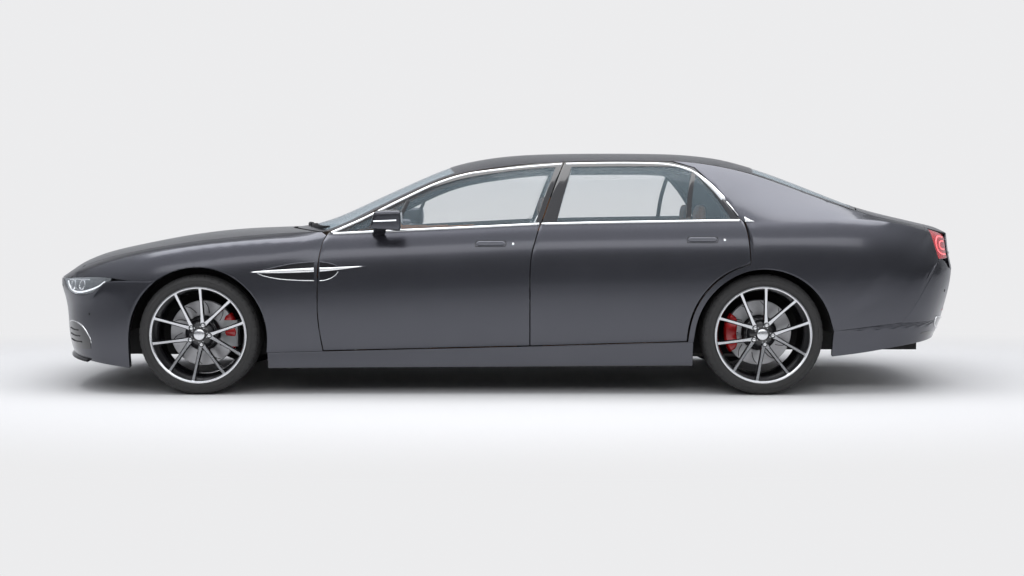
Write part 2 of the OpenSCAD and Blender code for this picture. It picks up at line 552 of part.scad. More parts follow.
tail_us = [1, 0.93, 0.86, 0.78, 0.7, 0.61, 0.52, 0.43, 0.34, 0.25, 0.15, 0.05, -0.05, -0.15, -0.25, -0.34,
    -0.43, -0.52, -0.61, -0.7, -0.78, -0.86, -0.93, -1];
function tail_low(u) = 297 - 81 * pow(abs(u), 3);
function smooth_step(a, b, x) = let (t = min(1, max(0, (x - a) / (b - a)))) t * t * (3 - 2 * t);
lid_low_z = 700;
tail_at = function(a, z) tail_pt(a, z);
function tail_cell(u, z) =
    let (a = u * tail_angle(straight(tail_end_pts, z), z),
         low = mix(tail_low(u), 408, (z - 216) / (408 - 216)),
         under_lid = 1 - smooth_step(lid_corner, lid_corner + 8, abs(a)),
         drop = under_lid * (762 - lid_low_z) * max(0, (z - 454) / (762 - 454)))
    [a, (z <= 408 ? low : z) - drop];
tail_grid = [for (z = tail_levels) [for (u = tail_us) tail_cell(u, z)]];
module rear_bumper() {
    color(paint) panel(wrap_out(tail_at, tail_grid), wrap_in(tail_at, tail_grid, -bumper_t));
}
// Height of the tail lamp's top, under the boot lid's edge
function lamp_top(a, z = 920, n = 5) = n == 0 ? z : lamp_top(a, edge_z(tail_pt(a, z)[0]) - gap, n - 1);
lamp_side_gap = 1.2;
function lamp_end(z) = tail_angle(straight(lamp_end_pts, z) - lamp_side_gap, z);
lamp_top_end = lamp_end(930);
tail_lamp_grid = [for (v = steps(0, 1, 6)) [for (f = steps(0, 1, 6))
    let (z = mix(lamp_low_z + seam, lamp_top(mix(lamp_top_end, lid_corner, f)), v))
    [mix(lamp_end(z), lid_corner, f), z]]];
module tail_lamps() {
    color([0.7, 0.1, 0.1]) both_sides()
        panel(wrap_out(tail_at, tail_lamp_grid), wrap_in(tail_at, tail_lamp_grid, -lamp_t));
}

// Sills, floor, pillars

sill_xs = [1346, 1180, 1031, 800, 500, 180, -139, -450, -760, -1035, -1062];
sill_low_z = 148;
module sills() {
    outer = [for (v = [0, 0.2, 0.6, 1]) [for (x = sill_xs)
        side_pt(x, mix(sill_low_z + 14 * (1346 - x) / 2408, sill_top(x), v))]];
    color(paint) both_sides() panel(outer,
        [for (r = outer) [for (p = r) [p[0], side_in, p[2]]]]);
}
side_in = 780;
module floor_pan() {
    color(black) union() {
        for (b = floor_boxes) {
            translate([station(b[1]), -b[2], b[3]])
                cube([station(b[0]) - station(b[1]), 2 * b[2], b[4]]);
        }
        both_sides() for (b = rail_boxes) {
            translate([station(b[1]), b[2], b[3]])
                cube([station(b[0]) - station(b[1]), b[4], b[5]]);
        }
        lifting_pads();
    }
}
floor_half = side_in - seat_fit;
floor_front = 1290;
wall_t = 40;
post_in = 700;
wall_half = post_in - seat_fit;
rear_floor_z = 305;
rear_floor_t = 50;
rear_floor_half = 480;
step_x = -1000;
step_t = 30;
rail_low = 380;
rail_in = 395;
rail_w = 70;
rail_h = 110;
rail_out = rail_in + rail_w;
rear_rail_in = 400;
rear_rail_w = rear_floor_half - rear_rail_in;
// Front, back, half-width, bottom and height of each floor box
floor_boxes = [
    [floor_front, step_x - step_t, floor_half, floor_z - floor_t, floor_t],
    [floor_front, floor_front - wall_t, wall_half, floor_z - floor_t, 690],
    [step_x, step_x - step_t, 640, floor_z - floor_t, 300],
    [step_x - 5, -2480, rear_floor_half, rear_floor_z, rear_floor_t]
];
// Front, back, inner side, bottom, width and height of each rail
rail_boxes = [
    [2480, floor_front - wall_t, rail_in, rail_low, rail_w, rail_h],
    [step_x - 5, -2470, rear_rail_in, rear_floor_z, rear_rail_w, rear_floor_t + rail_h]
];
// Lifting pads under the floor's edges
pad_xs = [1080, -820];
pad_y = 700;
pad_l = 110;
pad_w = 70;
pad_h = 30;
module lifting_pads() {
    both_sides() for (x = pad_xs) {
        translate([station(x) - pad_l / 2, pad_y - pad_w / 2, floor_z - floor_t - pad_h])
            cube([pad_l, pad_w, pad_h + 1]);
    }
}

// Posts that carry the doors, with the hinge pins in the door gaps

post_w = side_in - seat_fit - post_in;
post_x = [1110, 1248];
post_top = 870;
b_post_x = [-215, -65];
b_post_in = 690;
b_post_w = 50;
b_post_top = 925;
hinge_zs = [470, 600];
hinge_h = 60;
leaf_t = 3;
module box(x0, x1, y0, y1, z0, z1) {
    translate([station(x1), y0, z0]) cube([station(x0) - station(x1), y1 - y0, z1 - z0]);
}
module hinges(axis, inner_y) {
    for (z = hinge_zs) {
        translate([station(axis[0]), axis[1], z]) cylinder(r = hinge_r, h = hinge_h, $fn = 32);
        translate([station(axis[0]) - leaf_t / 2, inner_y, z]) cube([leaf_t, axis[1] - inner_y, hinge_h]);
    }
}
module pillars() {
    leaf_in = 770;
    color(black) both_sides() {
        union() {
            box(post_x[1], post_x[0], post_in, post_in + post_w, floor_z, post_top);
            for (z = hinge_zs) {
                box(post_x[0] + 5, front_hinge[0] - leaf_t / 2, leaf_in, post_in + post_w, z, z + hinge_h);
            }
            hinges(front_hinge, leaf_in);
        }
        union() {
            box(b_post_x[1], b_post_x[0], b_post_in, b_post_in + b_post_w, floor_z, b_post_top);
            hinges(rear_hinge, b_post_in + 1);
        }
    }
}

// Wheels and tyres, drawn with their axis along Z and the outer face up

rim_flange = 12;
rim_flange_w = 9;
rim_wall = 12;
rim_lip = 6;
hub_r = 78;
hub_face = 34;
hub_rise = 3;
spoke_t = 30;
spoke_face = 12;
spoke_count = 5;
tyre_shoulder = 26;
tyre_bulge = 7;
hat_r = 88;
disc_in = 58;
bore_r = spindle_r + running;
function rim_half(w) = w / 2 - tyre_bulge - 2;
module rim_barrel(w) {
    half = rim_half(w);
    rotate_extrude($fn = 96) polygon([
        [rim_r - rim_wall, -half], [rim_r + rim_flange, -half],
        [rim_r + rim_flange, -half + rim_flange_w], [rim_r, -half + rim_flange_w],
        [rim_r, half - rim_flange_w], [rim_r + rim_flange, half - rim_flange_w],
        [rim_r + rim_flange, half], [rim_r - rim_lip, half], [rim_r - rim_wall, half - rim_flange_w]]);
}
// One Y-shaped spoke: a stem from the hub, then two arms to the rim
module spoke(half) {
    reach = rim_r - rim_lip / 2;
    arm = 20;
    translate([0, 0, half - spoke_face - spoke_t]) linear_extrude(spoke_t) polygon([
        [hub_r - 14, -30], [125, -27], [reach * cos(arm + 4), -reach * sin(arm + 4)],
        [reach * cos(arm - 4), -reach * sin(arm - 4)], [140, 0],
        [reach * cos(arm - 4), reach * sin(arm - 4)], [reach * cos(arm + 4), reach * sin(arm + 4)],
        [125, 27], [hub_r - 14, 30]]);
}
// Rim, spokes, hub and brake disc, which turn together
module wheel_solid(w) {
    half = rim_half(w);
    difference() {
        union() {
            rim_barrel(w);
            for (k = [0 : spoke_count - 1]) rotate([0, 0, 360 / spoke_count * k]) spoke(half);
            translate([0, 0, -disc_in])
                cylinder(r = hub_r, h = half - spoke_face + hub_rise + disc_in, $fn = 64);
            translate([0, 0, -disc_in]) cylinder(r = hat_r, h = disc_in / 2, $fn = 64);
            translate([0, 0, -disc_in]) cylinder(r = disc_r, h = disc_t, $fn = 96);
        }
        translate([0, 0, -disc_in - 1]) cylinder(r = bore_r, h = disc_in + half - hub_face, $fn = 64);
    }
}
module tyre_solid(r, w) {
    half = rim_half(w) - rim_flange_w - seat_fit;
    inner = rim_r + seat_fit;
    flank = rim_r + rim_flange + seat_fit + 3;
    rotate_extrude($fn = 96) polygon([
        [inner, -half], [flank, -half], [flank + 12, -w / 2], [r - tyre_shoulder, -w / 2],
        [r - 6, -w / 2 + tyre_shoulder - 6], [r, -w / 2 + tyre_shoulder + 16],
        [r, w / 2 - tyre_shoulder - 16], [r - 6, w / 2 - tyre_shoulder + 6],
        [r - tyre_shoulder, w / 2], [flank + 12, w / 2], [flank, half], [inner, half]]);
}
module at_wheel(front, side) {
    x = front ? station(front_x) : station(rear_x);
    y = front ? front_half_track : rear_half_track;
    z = front ? front_tyre_r : rear_tyre_r;
    translate([x, side * y, z]) rotate([-90 * side, 0, 0]) children();
}
module wheel(front, side) {
    color(silver) at_wheel(front, side) wheel_solid(front ? front_tyre_w : rear_tyre_w);
}
module tyre(front, side) {
    color(black) at_wheel(front, side)
        tyre_solid(front ? front_tyre_r : rear_tyre_r, front ? front_tyre_w : rear_tyre_w);
}

// Steered knuckles: spindle, upright with the swivel's bore, and the brake caliper

swivel_in = 105;
upright_r = 28;
upright_h = 170;
arm_gap = 6;
caliper_gap = 6;
caliper_wall = 24;
caliper_low = -disc_in - caliper_gap - caliper_wall;
module spindle(front) {
    half = rim_half(front ? front_tyre_w : rear_tyre_w);
    translate([0, 0, -swivel_in]) cylinder(r = spindle_r, h = swivel_in + half - hub_face - 3, $fn = 64);
}
// Caliper over the disc's edge, at an angle around the wheel
module caliper(a) {
    tall = disc_t + 2 * (caliper_gap + caliper_wall);
    rotate([0, 0, a]) difference() {
        translate([disc_r - 62, -75, caliper_low]) cube([80, 150, tall]);
        translate([disc_r - 90, -76, -disc_in - caliper_gap])
            cube([90 + caliper_gap, 152, disc_t + 2 * caliper_gap]);
    }
}
module knuckle(side) {
    color(silver) at_wheel(true, side) {
        difference() {
            union() {
                spindle(true);
                translate([0, upright_h / 2, -swivel_in]) rotate([90, 0, 0])
                    cylinder(r = upright_r, h = upright_h, $fn = 48);
                translate([40 - disc_r, -30, -swivel_in - 20])
                    cube([disc_r - 40, 60, 25 + caliper_low + swivel_in]);
                caliper(180);
            }
            translate([0, upright_h / 2 + 1, -swivel_in]) rotate([90, 0, 0])
                cylinder(r = swivel_r + running, h = upright_h + 2, $fn = 48);
        }
    }
}
module rear_calipers() {
    color("firebrick") for (s = [1, -1]) at_wheel(false, s) caliper(0);
}

// Axles: a cross member, arms, and the swivel pins or the rear spindles

arm_t = 24;
arm_w = 70;
beam_half = 400;
beam_w = 90;
beam_h = 80;
front_swivel_y = front_half_track - swivel_in;
front_arm_low = front_tyre_r - upright_h / 2 - arm_gap - arm_t;
front_arm_high = front_tyre_r + upright_h / 2 + arm_gap;
module arm(y0, y1, z) {
    translate([-arm_w / 2, y0, z]) cube([arm_w, y1 - y0, arm_t]);
}
module front_axle() {
    color(black) translate([station(front_x), 0, 0]) union() {
        translate([-beam_w / 2, -beam_half - 60, front_arm_low]) cube([beam_w, 2 * beam_half + 120, beam_h]);
        both_sides() {
            arm(beam_half, front_swivel_y + 30, front_arm_low);
            arm(rail_out + seat_fit, front_swivel_y + 30, front_arm_high);
            translate([0, front_swivel_y, front_arm_low])
                cylinder(r = swivel_r, h = front_arm_high - front_arm_low + arm_t, $fn = 48);
            translate([-beam_w / 2, beam_half, front_arm_low])
                cube([beam_w, 60, rail_low - seat_fit - front_arm_low]);
            translate([-arm_w / 2, rail_out + seat_fit, front_arm_low])
                cube([arm_w, 40, front_arm_high - front_arm_low + arm_t]);
        }
    }
}
rear_beam_h = 52;
rear_beam_z = rear_floor_z - seat_fit - rear_beam_h - 10;
upright_t = 24;
module rear_axle() {
    upright_y = rear_half_track - swivel_in;
    color(black) translate([station(rear_x), 0, 0]) union() {
        translate([-beam_w / 2, -upright_y, rear_beam_z]) cube([beam_w, 2 * upright_y, rear_beam_h]);
        both_sides() {
            translate([-beam_w / 2, upright_y - upright_t, rear_beam_z]) cube([beam_w, upright_t, 200]);
            translate([0, upright_y - upright_t, rear_tyre_r - 30])
                cube([disc_r - 40, swivel_in + caliper_low - seat_fit + upright_t, 60]);
            translate([-beam_w / 2, rear_rail_in, rear_beam_z])
                cube([beam_w, rear_rail_w, rear_floor_z - seat_fit - rear_beam_z]);
        }
        for (s = [1, -1]) {
            translate([0, s * rear_half_track, rear_tyre_r]) rotate([-90 * s, 0, 0]) spindle(false);
        }
    }
}
liner_gap = 36;
liner_t = 8;
liner_plate_low = 135;
front_liner_out = 845;
rear_liner_out = 876;
module liner(x, z, r, y0, y1) {
    translate([station(x), y0, z]) rotate([-90, 0, 0]) difference() {
        cylinder(r = r + liner_t, h = y1 - y0, $fn = 96);
        translate([0, 0, liner_t]) cylinder(r = r, h = y1 - y0, $fn = 96);
        translate([-r - 20, -20, -1]) cube([2 * r + 40, r + 40, y1]);
        translate([-r - 20, -liner_plate_low, -1]) cube([2 * r + 40, liner_plate_low + 30, liner_t + 2]);
    }
}
module wheel_liners() {
    color(black) both_sides() {
        liner(front_x, arch_front_z, arch_front_r + liner_gap, rail_out + seat_fit, front_liner_out);
        liner(rear_x, arch_rear_z, arch_rear_r + liner_t, rear_floor_half + seat_fit, rear_liner_out);
    }
}

// Hinge pins of the hood and the boot lid, in the gaps beside the cowl and the rear window

hood_pin_r = 6.9;
lid_pin_r = 2.4;
// The lid's pin lies nearer to the shelf under the rear window
lid_pin_ahead = 0.9;
lid_pin_deep = 3.3;
pin_len = 8;
pin_leaf_t = 3;
hood_leaf = 27;
lid_leaf = 14;
pin_s = 0.95;
hood_edge = top_pt(hood_back, pin_s);
cowl_edge = top_pt(roof_rows[0], pin_s);
hood_axis = [(hood_edge[0] + cowl_edge[0]) / 2, (hood_edge[2] + cowl_edge[2]) / 2 - hood_pin_r];
hood_pin_y = (hood_edge[1] + cowl_edge[1]) / 2;
lid_edge = top_pt(lid_rows[0], pin_s);
shelf_edge = top_pt(roof_rows[len(roof_rows) - 1], pin_s);
lid_axis = [(lid_edge[0] + shelf_edge[0]) / 2 + lid_pin_ahead,
    (lid_edge[2] + shelf_edge[2]) / 2 - lid_pin_deep];
lid_pin_y = (lid_edge[1] + shelf_edge[1]) / 2;
// A pin with a leaf that runs into the roof's edge
module cross_pin(axis, y, r, leaf) {
    translate([station(axis[0]), y - pin_len / 2, axis[1]]) rotate([-90, 0, 0])
        cylinder(r = r, h = pin_len, $fn = 32);
    translate([station(axis[0]) + min(0, leaf), y - pin_len / 2 + 1, axis[1] - pin_leaf_t / 2])
        cube([abs(leaf), pin_len - 2, pin_leaf_t]);
}
module roof() {
    color(paint) union() {
        roof_shell();
        both_sides() {
            cross_pin(hood_axis, hood_pin_y, hood_pin_r, -hood_leaf);
            cross_pin(lid_axis, lid_pin_y, lid_pin_r, lid_leaf);
        }
    }
}

// Door mirrors

mirror_round = 14;
arm_round = 12;
// Middles of the balls that the mirror's housing and its arm are stretched over
mirror_pts = [[735, 950, 950], [735, 1035, 955], [715, 945, 1030], [715, 1040, 1026],
    [590, 945, 945], [590, 1050, 948], [590, 940, 1036], [590, 1055, 1030]];
mirror_arm_pts = [[745, 855, 907], [690, 855, 909], [715, 955, 962], [665, 955, 962]];
module stretched(pts, r, facets) {
    hull() for (p = pts) {
        translate(placed(p)) sphere(r = r, $fn = facets);
    }
}
module mirror_body() {
    stretched(mirror_pts, mirror_round, 24);
    stretched(mirror_arm_pts, arm_round, 16);
}
module door_mirror(side) {
    color(paint) on_side(side) mirror_body();
}

// Cabin

module across_car(half, pts) {
    translate([0, half, 0]) rotate([90, 0, 0]) linear_extrude(2 * half)
        polygon([for (p = pts) [station(p[0]), p[1]]]);
}
dash_half = 640;
dash_back = 860;
dash_front = floor_front - wall_t - seat_fit;
dash_pts = [[dash_front, 600], [dash_front, 815], [1100, 855], [960, 862], [890, 835],
    [dash_back, 760], [900, 640], [1050, 590]];
column_tilt = 22;
column_at = [620, seat_y, 800];
column_len = 300;
hub_depth = 40;
module on_column() {
    translate([station(column_at[0]), column_at[1], column_at[2]]) rotate([0, -90 + column_tilt, 0])
        rotate([0, 180, 0]) children();
}
module dashboard() {
    color(hide) union() {
        across_car(dash_half, dash_pts);
        on_column() translate([0, 0, hub_depth + 12]) cylinder(r = 34, h = column_len - 60, $fn = 32);
        on_column() cylinder(r = column_r, h = column_len, $fn = 32);
    }
}
rim_tube_r = 16;
module steering_wheel() {
    color(black) on_column() difference() {
        union() {
            rotate_extrude($fn = 64) translate([steering_r - rim_tube_r, 0]) circle(r = rim_tube_r, $fn = 24);
            translate([0, 0, -25]) cylinder(r = 62, h = hub_depth + 20, $fn = 48);
            for (a = [0, 180, 270]) {
                rotate([0, 0, a]) translate([40, -20, -10]) cube([steering_r - 60, 40, 18]);
            }
        }
        translate([0, 0, -1]) cylinder(r = column_r + running, h = hub_depth + 40, $fn = 48);
    }
}
console_half = 105;
console_pts = [[880, floor_z], [880, 560], [700, 560], [420, 545], [-120, 585], [-160, floor_z]];
module centre_console() {
    color(hide) across_car(console_half, console_pts);
}
front_seat_pts = [[455, floor_z], [480, 380], [470, 455], [60, 420], [-20, 470], [-190, 960],
    [-205, 985], [-215, 1130], [-285, 1130], [-310, 960], [-150, 420], [-120, floor_z]];
module front_seats() {
    color(hide) both_sides() translate([0, seat_y, 0]) across_car(seat_w / 2, front_seat_pts);
}
rear_seat_half = 620;
seat_back = step_x + seat_fit;
rear_seat_pts = [[-480, floor_z], [-460, 380], [-480, 450], [-880, 425], [-960, 470], [-1120, 930],
    [-1135, 1080], [-1195, 1080], [-1215, 930], [-1085, 520], [-1035, 490], [seat_back, 486],
    [seat_back, floor_z]];
module rear_seat() {
    color(hide) across_car(rear_seat_half, rear_seat_pts);
}
// Engine: ahead of the bulkhead, on the front axle's beam, under the hood
engine_gap = 110;
engine_len = 730;
engine_half = 300;
engine_clear = 45;
engine_back = floor_front + engine_gap;
engine_front = engine_back + engine_len;
engine_low = front_arm_low + beam_h + seat_fit;
engine_top = held(crown_pts, engine_front) - hood_t - engine_clear;
module engine_block() {
    color(silver) box(engine_front, engine_back, -engine_half, engine_half, engine_low, engine_top);
}
pipe_r = 24;
pipe_y = 160;
pipe_z = floor_z - floor_t - pipe_r - seat_fit;
pipe_xs = [1150, -1600, -1900];
silencer_back = -2280;
silencer_half = 430;
silencer_h = 90;
silencer_top = rear_floor_z - seat_fit;
// Round bar between two points over the car's length
module bar(p, q, r) {
    run = [station(q[0]) - station(p[0]), q[2] - p[2]];
    translate(placed(p)) rotate([0, 90 - atan2(run[1], run[0]), 0]) cylinder(r = r, h = norm(run), $fn = 48);
}
module exhaust() {
    pipe_up = silencer_top - silencer_h / 2;
    color(silver) union() {
        both_sides() {
            bar([pipe_xs[1], pipe_y, pipe_z], [pipe_xs[0], pipe_y, pipe_z], pipe_r);
            bar([pipe_xs[1] + pipe_r, pipe_y, pipe_z], [pipe_xs[2], pipe_y, pipe_up], pipe_r - 2);
        }
        box(pipe_xs[2] + 20, silencer_back, -silencer_half, silencer_half,
            silencer_top - silencer_h, silencer_top);
    }
}

floor_pan();
sills();
fenders();
quarter_panels();
roof();
pillars();
front_bumper();
grille();
headlamps();
rear_bumper();
tail_lamps();
windscreen();
rear_window();
wheel_liners();
dashboard();
centre_console();
front_seats();
rear_seat();
engine_block();
exhaust();
front_axle();
rear_axle();
rear_calipers();
front_door(1);  // door_front_left
front_door(-1);  // door_front_right
rear_door(1);  // door_rear_left
rear_door(-1);  // door_rear_right
front_glass(1);  // glass_front_left
front_glass(-1);  // glass_front_right
rear_glass(1);  // glass_rear_left
rear_glass(-1);  // glass_rear_right
door_mirror(1);  // mirror_left
door_mirror(-1);  // mirror_right
hood();
boot_lid();
knuckle(1);  // knuckle_left
knuckle(-1);  // knuckle_right
wheel(true, 1);  // wheel_front_left
wheel(true, -1);  // wheel_front_right
wheel(false, 1);  // wheel_rear_left
wheel(false, -1);  // wheel_rear_right
tyre(true, 1);  // tyre_front_left
tyre(true, -1);  // tyre_front_right
tyre(false, 1);  // tyre_rear_left
tyre(false, -1);  // tyre_rear_right
steering_wheel();
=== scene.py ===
"""Dressed scene of a four-door luxury sedan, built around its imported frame."""

import json
import logging
import math
from dataclasses import dataclass, field
from enum import Enum
from typing import Callable, Iterable, Optional, Sequence

import bmesh
import bpy
from mathutils import Matrix, Vector
from mathutils.bvhtree import BVHTree

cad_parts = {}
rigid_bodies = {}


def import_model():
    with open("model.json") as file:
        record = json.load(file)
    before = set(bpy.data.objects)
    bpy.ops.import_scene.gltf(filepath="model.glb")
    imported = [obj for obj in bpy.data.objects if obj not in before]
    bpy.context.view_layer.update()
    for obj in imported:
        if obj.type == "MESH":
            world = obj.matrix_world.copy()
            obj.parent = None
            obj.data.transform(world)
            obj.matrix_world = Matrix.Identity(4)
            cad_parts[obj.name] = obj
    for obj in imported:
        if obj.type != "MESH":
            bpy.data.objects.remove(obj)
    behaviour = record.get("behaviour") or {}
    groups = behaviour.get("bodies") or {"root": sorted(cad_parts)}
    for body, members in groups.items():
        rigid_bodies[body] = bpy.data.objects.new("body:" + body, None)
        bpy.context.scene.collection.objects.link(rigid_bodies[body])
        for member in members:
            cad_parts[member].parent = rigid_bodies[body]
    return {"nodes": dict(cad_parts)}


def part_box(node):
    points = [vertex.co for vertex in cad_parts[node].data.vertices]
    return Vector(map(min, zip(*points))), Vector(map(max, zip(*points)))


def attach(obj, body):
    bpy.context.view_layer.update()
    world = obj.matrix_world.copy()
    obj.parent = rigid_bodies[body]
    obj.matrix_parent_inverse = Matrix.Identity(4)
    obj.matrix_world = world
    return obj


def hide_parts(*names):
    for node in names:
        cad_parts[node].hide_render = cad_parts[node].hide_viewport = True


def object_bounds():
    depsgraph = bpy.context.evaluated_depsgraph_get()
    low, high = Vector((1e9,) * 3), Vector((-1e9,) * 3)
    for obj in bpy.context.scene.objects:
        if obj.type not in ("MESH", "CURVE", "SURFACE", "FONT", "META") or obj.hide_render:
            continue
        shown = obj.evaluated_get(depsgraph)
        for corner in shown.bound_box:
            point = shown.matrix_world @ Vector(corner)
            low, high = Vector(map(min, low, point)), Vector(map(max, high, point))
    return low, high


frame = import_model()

LOG = logging.getLogger("sedan")

CAD_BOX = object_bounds()
Colour = tuple[float, float, float]
Piece = bpy.types.Object
Point = Sequence[float]
Section = Sequence[tuple[float, float]]
Solid = tuple[list[Point], list[list[int]]]
Pick = Callable[[Vector, Vector], int]
AXLE = Vector((0.0, 1.0, 0.0))
UP = Vector((0.0, 0.0, 1.0))


class Side(Enum):
    """Side of the car a piece is on."""

    LEFT = 1
    RIGHT = -1

    @property
    def word(self) -> str:
        """Name of the side in node names."""
        return "left" if self is Side.LEFT else "right"


class Grain(Enum):
    """Relief that a finish shows close up."""

    NONE = "none"
    FLAKE = "flake"
    MOULDED = "moulded"
    LEATHER = "leather"
    WEAVE = "weave"
    TURNED = "turned"
    SIDEWALL = "sidewall"


class Value:
    """A shader number that takes part in Python arithmetic."""

    def __init__(self, shader: "Shader", socket: bpy.types.NodeSocket) -> None:
        """Wraps one output socket of a shader."""
        self.shader = shader
        self.socket = socket

    def _math(self, operation: str, first: object, second: object) -> "Value":
        """Adds a Math node.

        Args:
            operation: the node's operation.
            first: a Value or a number.
            second: a Value or a number.

        Returns:
            The node's result.
        """
        node = self.shader.node("ShaderNodeMath", {"operation": operation}, {0: first, 1: second})
        return Value(self.shader, node.outputs[0])

    def __add__(self, other: object) -> "Value":
        """Sum with a Value or a number."""
        return self._math("ADD", self, other)

    __radd__ = __add__

    def __sub__(self, other: object) -> "Value":
        """Difference from a Value or a number."""
        return self._math("SUBTRACT", self, other)

    def __rsub__(self, other: object) -> "Value":
        """Number minus this value."""
        return self._math("SUBTRACT", other, self)

    def __mul__(self, other: object) -> "Value":
        """Product with a Value or a number."""
        return self._math("MULTIPLY", self, other)

    __rmul__ = __mul__

    def __pow__(self, other: object) -> "Value":
        """Power of this value."""
        return self._math("POWER", self, other)

    def wave(self) -> "Value":
        """Sine of this value."""
        return self._math("SINE", self, 0.0)

    def ramp(self, low: float, high: float) -> "Value":
        """Nought at a low value and one at a high value, smooth in between."""
        made = self.shader.node("ShaderNodeMapRange", {"interpolation_type": "SMOOTHSTEP"},
                                {0: self, 1: low, 2: high})
        return Value(self.shader, made.outputs[0])

    def over(self, limit: float) -> "Value":
        """One where this value is over a limit, and nought elsewhere."""
        return self._math("GREATER_THAN", self, limit)


class Nodes:
    """Node tree that is filled through one method."""

    def __init__(self, tree: bpy.types.NodeTree) -> None:
        """Takes a tree and empties it."""
        self.tree = tree
        tree.nodes.clear()

    def node(self, kind: str, settings: Optional[dict] = None,
             inputs: Optional[dict] = None) -> bpy.types.Node:
        """Adds any node.

        Args:
            kind: the node's type name.
            settings: properties of the node, set first.
            inputs: values, Values or sockets for its inputs.

        Returns:
            The node.
        """
        made = self.tree.nodes.new(kind)
        for key, value in (settings or {}).items():
            setattr(made, key, value)
        for key, value in (inputs or {}).items():
            self.feed(made.inputs[key], value)
        return made

    def feed(self, socket: bpy.types.NodeSocket, value: object) -> None:
        """Sets a socket to a number or links it to a Value or an output socket.

        Args:
            socket: the input to set.
            value: a number, a Value or an output socket.
        """
        if isinstance(value, Value):
            self.tree.links.new(value.socket, socket)
        elif isinstance(value, bpy.types.NodeSocket):
            self.tree.links.new(value, socket)
        else:
            socket.default_value = value


class Shader(Nodes):
    """Node tree of one material with a Principled shader."""

    def __init__(self, name: str) -> None:
        """Starts a material with that name.

        Args:
            name: the material's name.
        """
        self.material = bpy.data.materials.new(name)
        self.material.use_nodes = True
        super().__init__(self.material.node_tree)
        self.principled = self.node("ShaderNodeBsdfPrincipled")
        self.output = self.node("ShaderNodeOutputMaterial", {}, {"Surface": self.principled.outputs[0]})
        self.place = self.node("ShaderNodeTexCoord").outputs["Object"]

    def set(self, name: str, value: object) -> None:
        """Sets or links an input of the Principled shader."""
        self.feed(self.principled.inputs[name], value)

    def stretched(self, scale: Point) -> bpy.types.NodeSocket:
        """Object coordinates scaled along each axis."""
        return self.node("ShaderNodeMapping", {}, {"Vector": self.place, "Scale": scale}).outputs[0]

    def noise(self, scale: float, detail: float = 2.0, stretch: Point = (1, 1, 1)) -> Value:
        """Soft noise from nought to one."""
        made = self.node("ShaderNodeTexNoise", {}, {"Vector": self.stretched(stretch), "Scale": scale,
            "Detail": detail})
        return Value(self, made.outputs[0])

    def cells(self, scale: float, feature: str = "F1") -> Value:
        """Distance within the cells of a Voronoi pattern."""
        made = self.node("ShaderNodeTexVoronoi", {"feature": feature}, {"Vector": self.place, "Scale": scale})
        return Value(self, made.outputs["Distance"])

    def axis(self, index: int) -> Value:
        """One object coordinate, 0 to 2 for X to Z."""
        return Value(self, self.node("ShaderNodeSeparateXYZ", {}, {0: self.place}).outputs[index])

    def tone(self, factor: Value, low: Colour, high: Colour) -> bpy.types.NodeSocket:
        """Colour between two tones."""
        made = self.node("ShaderNodeMix", {"data_type": "RGBA"}, {0: factor, 6: (*low, 1.0), 7: (*high, 1.0)})
        return made.outputs[2]

    def relief(self, height: Value, strength: float, depth: float) -> None:
        """Feeds a height to the shader's normal."""
        made = self.node("ShaderNodeBump", {}, {"Strength": strength, "Distance": depth, "Height": height})
        self.set("Normal", made.outputs[0])


@dataclass(frozen=True)
class Finish:
    """One finish of the car: its colours, gloss and relief."""

    name: str
    colour: Colour
    shade: Colour
    slot: str
    metallic: float = 0.0
    rough: float = 0.5
    rough_swing: float = 0.06
    coat: float = 0.0
    coat_rough: float = 0.05
    grain: Grain = Grain.MOULDED
    grain_scale: float = 900.0
    grain_depth: float = 0.0002
    alpha: float = 1.0
    glow: float = 0.0

    def material(self) -> bpy.types.Material:
        """The finish as a material, made once."""
        known = bpy.data.materials.get(self.name)
        return known if known else self._make()

    def _height(self, shader: Shader) -> Optional[Value]:
        """Height of the finish's relief, if it has one.

        Args:
            shader: the material's shader.

        Returns:
            The height, or None for a plain finish.
        """
        scale = self.grain_scale
        if self.grain is Grain.LEATHER:
            return shader.cells(scale, "DISTANCE_TO_EDGE") ** 0.5 + shader.noise(scale * 2.5) * 0.35
        if self.grain is Grain.MOULDED:
            return shader.noise(scale, 3.0)
        if self.grain is Grain.FLAKE:
            return shader.noise(scale, 1.0)
        if self.grain is Grain.WEAVE:
            return (shader.axis(0) * scale).wave() * (shader.axis(1)
                * scale).wave() + shader.noise(scale) * 0.3
        if self.grain is Grain.TURNED:
            return shader.noise(scale, 2.0, (1.0, 0.05, 1.0))
        if self.grain is Grain.SIDEWALL:
            return shader.noise(scale, 4.0) + shader.noise(scale * 0.1) * 0.4
        return None

    def _make(self) -> bpy.types.Material:
        """Builds the node tree.

        Returns:
            The material.
        """
        shader = Shader(self.name)
        drift = shader.noise(6.0 if self.grain is Grain.FLAKE else 40.0, 3.0)
        shader.set("Base Color", shader.tone(drift, self.colour, self.shade))
        shader.set("Roughness", drift * self.rough_swing + (self.rough - self.rough_swing / 2))
        shader.set("Metallic", self.metallic)
        shader.set("Coat Weight", self.coat)
        shader.set("Coat Roughness", self.coat_rough)
        height = self._height(shader)
        if height is not None:
            shader.relief(height, 0.5, self.grain_depth)
        if self.alpha < 1.0:
            rim = shader.node("ShaderNodeLayerWeight", {}, {"Blend": 0.35}).outputs["Facing"]
            shader.set("Alpha", Value(shader, rim) * 0.5 + self.alpha)
            shader.set("IOR", 1.5)
        if self.glow:
            shader.set("Emission Color", (*self.colour, 1.0))
            shader.set("Emission Strength", self.glow)
        return shader.material


